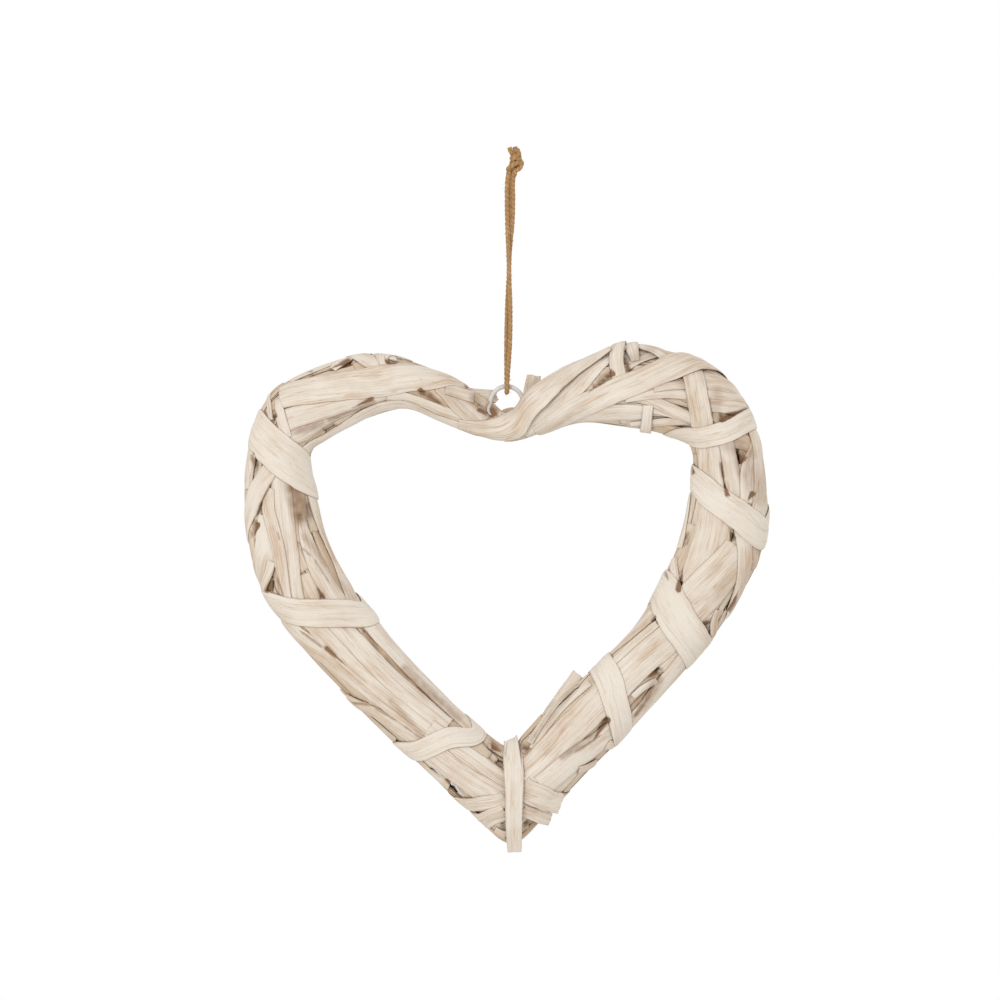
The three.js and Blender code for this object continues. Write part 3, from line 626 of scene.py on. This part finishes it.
# Joins the top and underside of a strip into one closed skin
def weave(top, bottom, uv, shade, under):
    rows, lanes = top.shape[:2]
    inner = lanes - 2
    size = lanes + inner
    ring = np.concatenate([top, bottom[:, ::-1]], axis=1)
    caps = []
    for start, flip in ((0, True), ((rows - 1) * size, False)):
        upper = np.arange(lanes)
        lower = np.concatenate([[0], size - 1 - np.arange(inner), [lanes - 1]])
        for k in range(lanes - 1):
            face = [upper[k], upper[k + 1], lower[k + 1], lower[k]]
            face = list(dict.fromkeys(int(x) for x in face))
            caps.append([start + x for x in (face[::-1] if flip else face)])

    def around(over, below):
        return np.concatenate([over, below[:, 1:-1][:, ::-1]], axis=1)

    values = {key: around(shade[key], under[key]).ravel() for key in shade}
    return ring.reshape(-1, 3), ring_faces(rows, size), caps, around(uv, uv).reshape(-1, 2), values


# Smooth curve through points drawn as u, v and mm to the back
def drawn_curve(rows, samples):
    return smooth_line([(across(u), back, up(v)) for u, v, back in rows], samples)


FREE_THICKNESS = 0.9


# A strip that stands free of the body and faces the front
def free_strip(line, widths, seed, tone):
    path, where = drawn_curve(line, 24)
    run = distance_along(path)
    nodes = np.linspace(0, run[-1], max(6, int(run[-1] / 0.5)))
    path = np.stack([np.interp(nodes, run, path[:, k]) for k in range(3)], axis=1)
    widths = np.broadcast_to(np.array(widths, float), (len(line),))
    half = np.interp(np.interp(nodes, run, where), np.arange(len(line)), widths) * UNIT / 2
    ahead = np.gradient(path, axis=0)
    ahead /= np.linalg.norm(ahead, axis=1)[:, None]
    sideways = np.cross(ahead, (0.0, -1.0, 0.0))
    sideways /= np.linalg.norm(sideways, axis=1)[:, None]
    facing = np.cross(sideways, ahead)
    facing *= -np.sign(facing[:, 1:2])
    turn = np.linspace(-1, 1, max(7, int(2 * half.max() / 0.4)))
    q = half[:, None] * turn * (1 + 0.04 * noise(nodes / 4, 0, seed))[:, None]
    slack = np.clip(1 - np.minimum(nodes, run[-1] - nodes) / 2, 0, 1)
    along = 0.35 * noise(turn * 2.6, 1, seed) * slack[:, None]
    relief = 0.12 * noise(q / 1.6, nodes[:, None] / 30, seed + 1)
    relief = relief + 0.2 * noise(q / 6, nodes[:, None] / 7, seed + 2)
    round_off = (1 - np.abs(turn) ** 6) ** 0.5
    path, ahead, sideways, facing = (rows[:, None, :] for rows in (path, ahead, sideways, facing))
    middle = path + q[..., None] * sideways + along[..., None] * ahead
    body = FREE_THICKNESS * (0.25 + 0.25 * round_off)
    top = middle + (body + relief * round_off)[..., None] * facing
    low = middle - (body - relief * round_off)[..., None] * facing
    still = np.zeros_like(q)
    # Edges are painted browner, partly as unpainted husk and partly as painted shade
    shade = dict(edge=np.abs(turn) ** 8 + still, crease=still, tone=still + tone, hollow=still)
    uv = np.stack([nodes[:, None] + 11.0 * seed + still, q + 7.0 * seed], axis=-1)
    return weave(top, low[:, 1:-1], uv, shade, shade)


SHADING = ("edge", "crease", "tone", "hollow")


# One mesh object from parts in mm, with UV in units of 100 mm. The shading values become one colour: red at
# the edges, green in creases, blue for tone and alpha for the painted shade in openings and soft shades
def build_mesh(name, parts):
    loops, sizes, first = [], [], 0
    for points, quads, caps, _, _ in parts:
        loops += [quads.ravel() + first] + [np.array(cap) + first for cap in caps]
        sizes += [np.full(len(quads), 4), [len(cap) for cap in caps]]
        first += len(points)
    points, _, _, uv, values = zip(*parts)
    loops, sizes = np.concatenate(loops), np.concatenate(sizes).astype(np.int32)
    colour = np.stack([np.concatenate([value[key] for value in values]) for key in SHADING], axis=1)
    colour[:, 2] = 0.5 + 0.5 * colour[:, 2]
    mesh = bpy.data.meshes.new(name)
    mesh.vertices.add(first)
    mesh.vertices.foreach_set("co", (np.vstack(points) / 1000).astype(np.float32).ravel())
    mesh.loops.add(len(loops))
    mesh.loops.foreach_set("vertex_index", loops.astype(np.int32))
    mesh.polygons.add(len(sizes))
    mesh.polygons.foreach_set("loop_start", (np.cumsum(sizes) - sizes).astype(np.int32))
    mesh.polygons.foreach_set("loop_total", sizes)
    mesh.polygons.foreach_set("use_smooth", np.full(len(sizes), True))
    mesh.update(calc_edges=True)
    layer = mesh.uv_layers.new(name="husk_uv")
    layer.data.foreach_set("uv", (np.vstack(uv)[loops] / 100).astype(np.float32).ravel())
    shade = mesh.attributes.new("husk", "FLOAT_COLOR", "POINT")
    shade.data.foreach_set("color", np.clip(colour, 0, 1).astype(np.float32).ravel())
    mesh.validate()
    return place_in_scene(name, mesh)


def plain_values(count):
    return {key: np.zeros(count) for key in SHADING}


# Tube of a varying radius round a line, for wire, string and knot, with capped ends or closed to a ring
def tube(line, radius, sides, closed=False, start=(0.0, 1.0, 0.0), bumps=None):
    line = np.asarray(line, float)
    count = len(line)
    if closed:
        ahead = np.roll(line, -1, axis=0) - np.roll(line, 1, axis=0)
    else:
        ahead = np.gradient(line, axis=0)
    ahead /= np.linalg.norm(ahead, axis=1)[:, None]
    side = np.array(start, float)
    frames = []
    for direction in ahead:
        side = side - direction * side.dot(direction)
        side /= np.linalg.norm(side)
        frames.append((side, np.cross(direction, side)))
    one, two = np.array(frames).swapaxes(0, 1)[:, :, None, :]
    angle = np.arange(sides) / sides * TURN
    radius = np.broadcast_to(np.asarray(radius, float), (count,))
    wide = radius[:, None] * np.ones(sides)
    if bumps:
        wide = wide * bumps(np.arange(count)[:, None], angle)
    away = np.cos(angle)[:, None] * one + np.sin(angle)[:, None] * two
    points = line[:, None, :] + wide[..., None] * away
    caps = [] if closed else [list(range(sides - 1, -1, -1)), list(range((count - 1) * sides, count * sides))]
    around = np.tile(angle, count) * float(radius.mean())
    uv = np.stack([np.repeat(distance_along(line), sides), around], axis=1)
    return points.reshape(-1, 3), ring_faces(count, sides, closed), caps, uv, plain_values(count * sides)


# Short calls for building a material's nodes
class Nodes:
    def __init__(self, name):
        self.material = bpy.data.materials.new(name)
        self.material.use_nodes = True
        self.tree = self.material.node_tree
        self.shader = self.tree.nodes["Principled BSDF"]

    def feed(self, socket, value):
        if isinstance(value, bpy.types.NodeSocket):
            self.tree.links.new(value, socket)
        else:
            socket.default_value = value

    def add(self, kind, inputs=(), **settings):
        node = self.tree.nodes.new(kind)
        for key, value in settings.items():
            setattr(node, key, value)
        for key, value in dict(inputs).items():
            self.feed(node.inputs[key], value)
        return node.outputs

    def uv(self):
        return self.add("ShaderNodeUVMap", uv_map="husk_uv")["UV"]

    def place(self):
        return self.add("ShaderNodeTexCoord")["Object"]

    def shading(self):
        data = self.add("ShaderNodeAttribute", attribute_name="husk")
        edge, crease, tone = self.add("ShaderNodeSeparateColor", {"Color": data["Color"]})
        return edge, crease, tone, data["Alpha"]

    def math(self, operation, a, b=0.0, clamp=False):
        return self.add("ShaderNodeMath", {0: a, 1: b}, operation=operation, use_clamp=clamp)[0]

    def times(self, a, b):
        return self.math("MULTIPLY", a, b)

    def plus(self, a, b, clamp=False):
        return self.math("ADD", a, b, clamp)

    def noise(self, vector, scale, detail=2.0, rough=0.5):
        inputs = {"Vector": vector, "Scale": scale, "Detail": detail, "Roughness": rough}
        return self.add("ShaderNodeTexNoise", inputs)["Fac"]

    def fibres(self, uv, along, sideways, detail=2.0, rough=0.5):
        stretched = self.add("ShaderNodeMapping", {"Vector": uv, "Scale": (along, sideways, 1)})["Vector"]
        return self.noise(stretched, 1.0, detail, rough)

    def ramp(self, value, low, high, out_low=0.0, out_high=1.0):
        inputs = {"Value": value, "From Min": low, "From Max": high, "To Min": out_low, "To Max": out_high}
        return self.add("ShaderNodeMapRange", inputs, clamp=True)["Result"]

    # 1 where a noise is close to its middle value, so thin lines
    def lines(self, noise, width):
        return self.ramp(self.math("ABSOLUTE", self.math("SUBTRACT", noise, 0.5)), 0.0, width, 1.0, 0.0)

    def mix(self, amount, first, second):
        inputs = {"Factor": amount, "A": first, "B": second}
        return self.add("ShaderNodeMix", inputs, data_type="RGBA")["Result"]

    def finish(self, colour, roughness, specular=None, relief=None, strength=0.0, distance=0.0):
        self.feed(self.shader.inputs["Base Color"], colour)
        self.shader.inputs["Roughness"].default_value = roughness
        if specular is not None:
            self.shader.inputs["Specular IOR Level"].default_value = specular
        if relief is not None:
            inputs = {"Height": relief, "Strength": strength, "Distance": distance}
            self.feed(self.shader.inputs["Normal"], self.add("ShaderNodeBump", inputs)["Normal"])
        return self.material


LIGHT = (0.655, 0.6, 0.525, 1)
MIDDLE = (0.575, 0.495, 0.405, 1)
VEIL = (0.64, 0.6, 0.54, 1)
# Darker, browner husk for the bundle under the strips: partly unwhitewashed inner husk, partly painted shade
INNER_LIGHT = (0.61, 0.535, 0.44, 1)
INNER_MIDDLE = (0.53, 0.435, 0.33, 1)
TAN = (0.43, 0.285, 0.18, 1)
# Painted shade for the openings and the soft shades
DEEP_SHADE = (0.19, 0.1, 0.048, 1)


# Husk: long noise along the strip from fine to broad wears the whitewash off, and blotch and patch lie across
# the strips. Veins, threads and flecks are lines of tan and creases are browner. Edges are browner, partly as
# unpainted husk and partly as painted shade. Openings and the soft shades are painted dark, as painted shade
def husk_material(name, light, middle, worn):
    n = Nodes(name)
    uv = n.uv()
    edge, crease, tone, hollow = n.shading()
    place = n.place()
    fine = n.fibres(uv, 4.0, 150, 2.0, 0.6)
    streak = n.fibres(uv, 2.2, 55, 2.0, 0.55)
    broad = n.fibres(uv, 1.8, 19)
    veil = n.fibres(uv, 5.0, 30)
    fleck = n.fibres(uv, 22, 110, 1.0)
    blotch = n.noise(place, 42.0, 3.0, 0.6)
    patch = n.noise(place, 15.0)
    wear_and_shade = n.times(n.ramp(fine, 0.42, 0.66), 0.5)
    wear_and_shade = n.plus(wear_and_shade, n.times(n.ramp(streak, 0.5, 0.66), 0.35))
    wear_and_shade = n.plus(wear_and_shade, n.times(n.ramp(broad, 0.42, 0.7), 0.5))
    wear_and_shade = n.times(wear_and_shade, n.ramp(blotch, 0.32, 0.62, 0.35, 1.2))
    wear_and_shade = n.plus(wear_and_shade, n.times(n.ramp(patch, 0.4, 0.7), 0.2))
    # Low tone browns it more: on the recess strips and the undersides this is painted shade, on the inner
    # tube partly
    wear_and_shade = n.plus(wear_and_shade, n.times(n.math("SUBTRACT", 0.5, tone), 1.5))
    wear_and_shade = n.plus(wear_and_shade, worn, clamp=True)
    wear_and_shade = n.times(wear_and_shade, n.ramp(tone, 0.55, 0.85, 1.0, 0.6))
    colour = n.mix(n.ramp(wear_and_shade, 0.0, 0.6), light, middle)
    colour = n.mix(n.ramp(wear_and_shade, 0.55, 1.2, 0.0, 0.8), colour, TAN)
    colour = n.mix(n.ramp(veil, 0.52, 0.72, 0.0, 0.45), colour, VEIL)
    vein = n.times(n.lines(streak, 0.045), n.ramp(broad, 0.4, 0.6, 0.15, 0.85))
    thread = n.times(n.lines(fine, 0.06), n.ramp(blotch, 0.42, 0.62, 0.12, 0.55))
    lines = n.times(n.math("MAXIMUM", vein, thread), n.ramp(tone, 0.45, 0.85, 1.0, 0.4))
    colour = n.mix(lines, colour, TAN)
    colour = n.mix(n.ramp(fleck, 0.7, 0.77, 0.0, 0.5), colour, TAN)
    # Edges are painted tan, partly as unpainted husk and partly as painted shade under them; creases are tan
    # too
    line = n.times(n.ramp(edge, 0.25, 0.9), n.ramp(streak, 0.35, 0.6, 0.3, 1.0))
    line = n.math("MAXIMUM", line, n.ramp(crease, 0.2, 0.9, 0.0, 0.7))
    colour = n.mix(n.times(line, 0.6), colour, TAN)
    # Openings and soft shades: painted shade
    colour = n.mix(n.ramp(hollow, 0.15, 0.85, 0.0, 0.95), colour, DEEP_SHADE)
    relief = n.plus(n.plus(n.times(fine, 0.6), n.times(streak, 0.8)), n.times(broad, 0.6))
    return n.finish(colour, 0.82, 0.25, relief, 0.6, 0.0006)


# Old white paint with greyer patches
def wire_material():
    n = Nodes("painted_wire")
    place = n.place()
    patch = n.noise(place, 420.0, 3.0, 0.6)
    colour = n.mix(n.ramp(patch, 0.5, 0.75), (0.56, 0.54, 0.5, 1), (0.4, 0.36, 0.31, 1))
    return n.finish(colour, 0.5, None, n.plus(patch, n.noise(place, 1800.0)), 0.3, 0.0002)


# Brown fibres along the plies, paler patches, and painted shade, near black, in the grooves between the plies
def jute_material():
    n = Nodes("jute")
    fibre = n.fibres(n.uv(), 24, 420, 3.0, 0.6)
    patch = n.noise(n.place(), 260.0, 3.0, 0.6)
    groove_shade = n.shading()[1]
    colour = n.mix(n.ramp(fibre, 0.38, 0.68), (0.46, 0.272, 0.12, 1), (0.22, 0.115, 0.045, 1))
    colour = n.mix(n.ramp(patch, 0.5, 0.72, 0.0, 0.6), colour, (0.52, 0.34, 0.18, 1))
    colour = n.mix(n.times(groove_shade, 0.8), colour, (0.085, 0.042, 0.018, 1))
    return n.finish(colour, 0.92, 0.2, fibre, 0.6, 0.0004)


def floor_material():
    n = Nodes("pale_floor")
    return n.finish(n.mix(n.noise(n.place(), 6.0), (0.82, 0.81, 0.79, 1), (0.85, 0.84, 0.82, 1)), 0.9)


HUSK = husk_material("husk", LIGHT, MIDDLE, -0.1)
# The bundle's husk: darker, partly as painted shade
SHADED_INNER_HUSK = husk_material("husk_inner", INNER_LIGHT, INNER_MIDDLE, 0.0)
WIRE = wire_material()
JUTE = jute_material()


# Gives a piece its material, slot and body, and hides the solid that it stands for, if there is one
def dress(piece, material, node):
    piece.data.materials.append(material)
    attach(piece, "root")
    if node:
        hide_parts(node)
    return piece


# String first: one length doubled through the eye, from knot to knot, as drawn u and v and mm to the back
STRING_LINE = [
    (511, 167.5, 0), (508.4, 175, -0.1), (507.2, 186, -0.3), (507, 200, -0.3), (507.3, 215, -0.4),
    (507.6, 230, -0.7), (508.4, 250, -1.4), (509, 270, -1.5), (509.4, 285, -1.5), (510, 300, -1.3),
    (510.3, 320, -1.1), (509.8, 345, -1.3), (508.4, 365, -1.9), (507.4, 378, -2.8), (507.1, 386, -3.3),
    (507, 390.4, -2.4), (506.9, 392.4, 0), (506.8, 390.4, 2.4), (506.7, 386, 3.3), (506.6, 378, 2.8),
    (506.5, 365, 1.9), (506.5, 345, 1.4), (506.9, 320, 1.2), (507.6, 300, 1.4), (508.4, 285, 1.5),
    (509, 270, 1.5), (509.8, 250, 1.5), (511.6, 230, 0.8), (512.8, 215, 0.3), (513, 200, 0), (512.8, 186, 0),
    (513.6, 175, 0), (516, 167.5, 0),
]
STRING_DIAMETER = 2.6
STRING_PITCH = 5.2
FIBRE_COUNT = 260


# Two plies laid round each other, as one lobed tube: the radius dips where the plies meet
def plied_tube(line, diameter, pitch, sides, seed):
    run = distance_along(line)
    spin = run / pitch * TURN
    radius = diameter / 2 * (1 + 0.05 * noise(run / 2.2, 0, seed))

    def lobes(row, angle):
        return 0.82 + 0.24 * np.abs(np.cos(angle + spin[row])) + 0.04 * noise(row / 1.3, angle * 2, seed + 1)

    pts, quads, caps, uv, values = tube(line, radius, sides, bumps=lobes)
    angle = np.tile(np.arange(sides) / sides * TURN, len(line)) + np.repeat(spin, sides)
    # The crease value marks the grooves where the plies meet, for painted shade there
    values["crease"] = np.clip(1 - 2.6 * np.abs(np.cos(angle)), 0, 1)
    uv = np.stack([uv[:, 0], uv[:, 1] + 0.9 * np.repeat(run, sides)], axis=1)
    return pts, quads, caps, uv, values


def make_string():
    line, _ = drawn_curve(STRING_LINE, 14)
    piece = build_mesh("jute_string", [plied_tube(line, STRING_DIAMETER, STRING_PITCH, 18, 41)])
    dress(piece, JUTE, "hanging_string")
    return piece, line


# Knot: each end of the string goes round the other one and stands up, over a core that fills the middle
def make_knot():
    def route(rows, pitch, diameter, seed):
        line, _ = drawn_curve(rows, 12)
        return plied_tube(line, diameter, pitch, 16, seed)

    parts = [
        route([(508.2, 176, 0), (509.6, 170, 0.4), (514, 166.5, 2.2), (520, 165, 1.4), (521.6, 163, -1.4),
               (516, 163.6, -3.2), (510, 167.4, -2.6), (508.6, 170.2, 0.4), (513, 170.8, 2.6),
               (519, 168.2, 2.0), (518.4, 163, 0.6), (514.6, 157, 0.2), (511, 152, -0.9),
               (509.4, 147.4, -1.0)], 5.0, 2.8, 51),
        route([(514, 176, 0), (515.6, 171, -1.0), (520.4, 167.6, -2.2), (520.8, 161.6, -1.2),
               (516.4, 158.8, -2.4), (512.4, 161.2, -1.4), (512.2, 164.6, 1.6), (517, 161.8, 2.6),
               (519.4, 157.8, 1.4), (517.6, 153.6, 0.4), (515.6, 149.6, 0.2),
               (514.8, 146.8, 0.2)], 5.0, 2.7, 52),
        route([(511.4, 158.6, 0.4), (515.2, 156.6, -1.9), (518.6, 154.6, -0.6), (517.8, 151.2, 1.2),
               (516.6, 149.2, 1.0)], 5.0, 2.8, 53),
        route([(509.4, 169.4, 0), (513.6, 166.6, 0.3), (518.6, 163.2, 0)], 6.0, 4.2, 54),
        route([(512.4, 160, 0), (513.6, 155.4, 0), (513.8, 150.6, 0)], 6.0, 2.8, 55),
    ]
    piece = build_mesh("jute_knot", parts)
    return dress(piece, JUTE, "string_knot")


# Loose fibres: a thin run between the two halves below the knot, and short hairs all along
def make_fibres(route):
    rng = np.random.default_rng(44)
    between = [(510.8, 171, 0.2), (510.1, 186, 0.3), (510, 200, 0.3), (510.3, 216, 0.3), (509.8, 234, 0.2)]
    line, _ = drawn_curve(between, 12)
    parts = [plied_tube(line, 1.5, 7.0, 8, 56)]
    for _ in range(FIBRE_COUNT):
        root = route[rng.integers(4, len(route) - 1)]
        away = np.array([rng.uniform(-1, 1), rng.uniform(-1, 1), rng.uniform(-0.9, 0.9)])
        away /= np.linalg.norm(away)
        droop = np.array([rng.uniform(-0.4, 0.4), rng.uniform(-0.4, 0.4), rng.uniform(-0.8, 0.3)])
        long = rng.uniform(1.4, 3.0)
        hair = [root + away * long * f + droop * long * f * f for f in (0.0, 0.35, 0.7, 1.0)]
        parts.append(tube(hair, np.array([0.07, 0.06, 0.05, 0.03]), 3, start=(0.3, 0.2, 0.9)))
    return dress(build_mesh("jute_fibres", parts), JUTE, None)


string, string_route = make_string()
knot = make_knot()
fibres = make_fibres(string_route)


RING_WIDTH = 18
RING_HEIGHT = 23.5
RING_WIRE = 2.6
RING_STEPS = 96


# Wire eye: two straight legs and two half rounds. Its left leg leans to the front where it enters the husk
def make_ring():
    radius, leg = RING_WIDTH / 2, RING_HEIGHT - RING_WIRE - RING_WIDTH
    centre = (float(across(506.8)), float(up(386.3)) - radius)
    step = np.arange(RING_STEPS)
    angle = (step + 0.5) / RING_STEPS * TURN
    unevenness = np.sin(step / RING_STEPS * math.pi)
    x = centre[0] + radius * np.cos(angle)
    z = centre[1] + radius * np.sin(angle) - np.where(np.sin(angle) < 0, leg, 0)
    x = x + 0.25 * noise(step / 11, 0, 61) * unevenness
    low = np.clip((float(up(397)) - z) / 8, 0, 1)
    lean = low * low * (3 - 2 * low) * np.clip(-np.cos(angle) * 1.6, 0, 1)
    leaning = centre[0] + (x - centre[0]) * (1 + 0.15 * lean * low) - 0.8 * lean
    x = np.where(x < centre[0], leaning, x)
    y = 0.1 * noise(step / 14, 2, 62) * unevenness - 4.5 * lean
    piece = build_mesh("wire_eye", [tube(np.stack([x, y, z], axis=1), RING_WIRE / 2, 16, closed=True)])
    return dress(piece, WIRE, "hanging_ring")


FRAME_WIRE = 2.2
FRAME_STEPS = 560


# Frame wire just inside the outer rim, deeper under the openings
def make_frame_wire():
    s = np.arange(FRAME_STEPS) / FRAME_STEPS * LOOP
    phi = np.full(len(s), 0.55)
    line = surface(s, phi, -1.9 - 2.2 * opening(s, phi, 4.0, 5.0) + 0.3 * noise(s * 1.3, 0, 63))
    piece = build_mesh("bent_wire", [tube(line, FRAME_WIRE / 2, 10, closed=True)])
    return dress(piece, WIRE, "frame_wire")


make_ring()
make_frame_wire()


TUBE_ROWS, TUBE_SIDES = 480, 64


# Husk bundle: seeded lengthwise strips in three layers round a closed inner tube
def inner_tube():
    s = np.arange(TUBE_ROWS) / TUBE_ROWS * LOOP
    phi = np.arange(TUBE_SIDES) / TUBE_SIDES * TURN
    ss, pp = np.meshgrid(s, phi, indexing="ij")
    hollow = opening(ss, pp, 2.2, 2.6)
    points = surface(ss, pp, -3.4 - 1.8 * hollow + 0.25 * noise(pp * 5, ss * 0.8, 71)).reshape(-1, 3)
    faces = np.roll(ring_faces(TUBE_ROWS, TUBE_SIDES, closed=True)[:, ::-1], 1, axis=1)
    uv = np.stack([ss.ravel() * ALONG, pp.ravel() * AROUND], axis=1)
    values = plain_values(len(points))
    # The inner tube is painted browner and darker, darkest under the openings: partly unwhitewashed inner
    # husk, partly painted shade of the deep inside
    values.update(edge=values["edge"] + 0.5, tone=values["tone"] - 1, hollow=0.2 + 0.8 * hollow.ravel())
    return points, faces, [], uv, values


def filler(rng, layer, k, count, turn):
    start = (k / count) * LOOP + rng.uniform(-0.4, 0.4)
    phi = (turn + rng.uniform(-0.2, 0.2)) % TURN
    long = rng.uniform(2.4, 3.6)
    slant = rng.uniform(-0.35, 0.35)
    points = np.array([((start + f * long) * ALONG, (phi + slant * f + 0.05 * math.sin(5 * f)) * AROUND)
                       for f in np.linspace(0, 1, 4)])
    return lay_strip(points, [0] * 4, np.array([rng.uniform(16, 26)]), 900 + 200 * layer + k, step=2.6,
                     mesh_across=1.6, thick=rng.uniform(0.7, 1.1), flat=0.2, tone=rng.uniform(-0.5, 0.3),
                     raster=6, sink=2.4, stiff=0.2, gap=0.02, deep=True, full=0.8)


# The layers from the innermost outwards: how many strips, the piece and the solid that it stands for
LAYERS = [
    (92, "husk_strands_lower", None), (96, "husk_strands_middle", None), (92, "husk_strands", "husk_bundle"),
]
GOLDEN_PART = 0.381966


def make_bundle():
    rng = np.random.default_rng(20)
    for layer, (count, name, node) in enumerate(LAYERS):
        parts = [] if layer else [inner_tube()]
        parts += [filler(rng, layer, k, count, (k + 0.3 * layer) * TURN * GOLDEN_PART) for k in range(count)]
        dress(build_mesh(name, parts), SHADED_INNER_HUSK, node)


make_bundle()


# Strips that lie on top of the soft shades and take none of them, as the wraps do
OUTERMOST = ("lobe_right_vertical", "crest_right", "valley_band", "crown_right", "crown_left", "point_band")


def husk_piece(name, part):
    dress(build_mesh("husk_" + name, [part]), HUSK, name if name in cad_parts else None)


def make_strips():
    for k, (name, width, line, before, after, *options) in enumerate(STRIPS):
        choice = dict(*options)
        wrap = choice.pop("wrap", False)
        points, drawn = unrolled_line(line, before, after, wrap)
        widths = np.broadcast_to(np.array(width, float), (len(line),))
        choice.setdefault("flat", 0.8 if wrap else 0.5)
        part = lay_strip(points, drawn, widths, 100 + 7 * k, lap=wrap, stiff=0.9 if wrap else 0.45,
                         shade_on=not wrap and name not in OUTERMOST, **choice)
        husk_piece(name, part)


make_strips()


# Cut ends and tips that stick out: name, drawn line with mm to the back, widths, tone
LOOSE = [
    ("loose_end", [(531, 739, -2.6), (552, 709, -2.8), (578, 673.5, -2.4)], (9, 11.5, 11.5), 0.1),
    ("cut_end_right", [(531, 400, 0.8), (532, 388, 0.6), (534, 375.5, 0.2)], (16, 16, 14), 0.0),
    ("tip_end_right", [(516, 784, -17.0), (540, 796, -14.0), (561, 803, -6.5)], (24, 23, 22), 0.1),
    ("tip_end_right_low", [(518, 804, -16.0), (535, 813, -11.0), (550, 819, -4.5)], (15, 15, 13), 0.0),
    ("cut_end_left", [(462, 394, -3.6), (478, 395.6, -1.5), (496, 396.5, 2.2)], (14, 14, 13), -0.3),
    ("torn_end_left", [(489, 402, 1.8), (497.5, 397.5, 2.6)], (8, 5), -1.0),
    ("torn_end_middle", [(489, 402, 1.4), (494, 409, 1.4), (501, 420, 0.5)], (6, 8, 8), -1.0),
    ("torn_end_right", [(498, 417, 2.6), (504, 411.5, 2.8), (510, 410, 2.8), (518, 410, 2.4)],
     (4, 4.5, 5, 5), -1.0),
    ("point_end", [(512.8, 741, -2.5), (513, 751, -8.6), (513.3, 762, -14.7), (514, 780, -18.6),
                   (514, 800, -19.3), (514, 816, -17.5), (514.2, 834, -12.5), (514.5, 851, -6.4)],
     (18, 20, 20, 19, 18, 16.5, 15, 14), 0.35),
]


def make_loose():
    for k, (name, line, widths, tone) in enumerate(LOOSE):
        husk_piece(name, free_strip(line, widths, 501 + 9 * k, tone))


make_loose()


# Pale floor, below the view from the front, in metres
FLOOR_LEVEL = -0.62


def make_floor():
    mesh = bpy.data.meshes.new("floor")
    mesh.from_pydata([(-1.5, -1.5, 0), (1.5, -1.5, 0), (1.5, 1.2, 0), (-1.5, 1.2, 0)], [], [(0, 1, 2, 3)])
    mesh.materials.append(floor_material())
    floor = place_in_scene("floor", mesh, (0, 0, FLOOR_LEVEL))


make_floor()
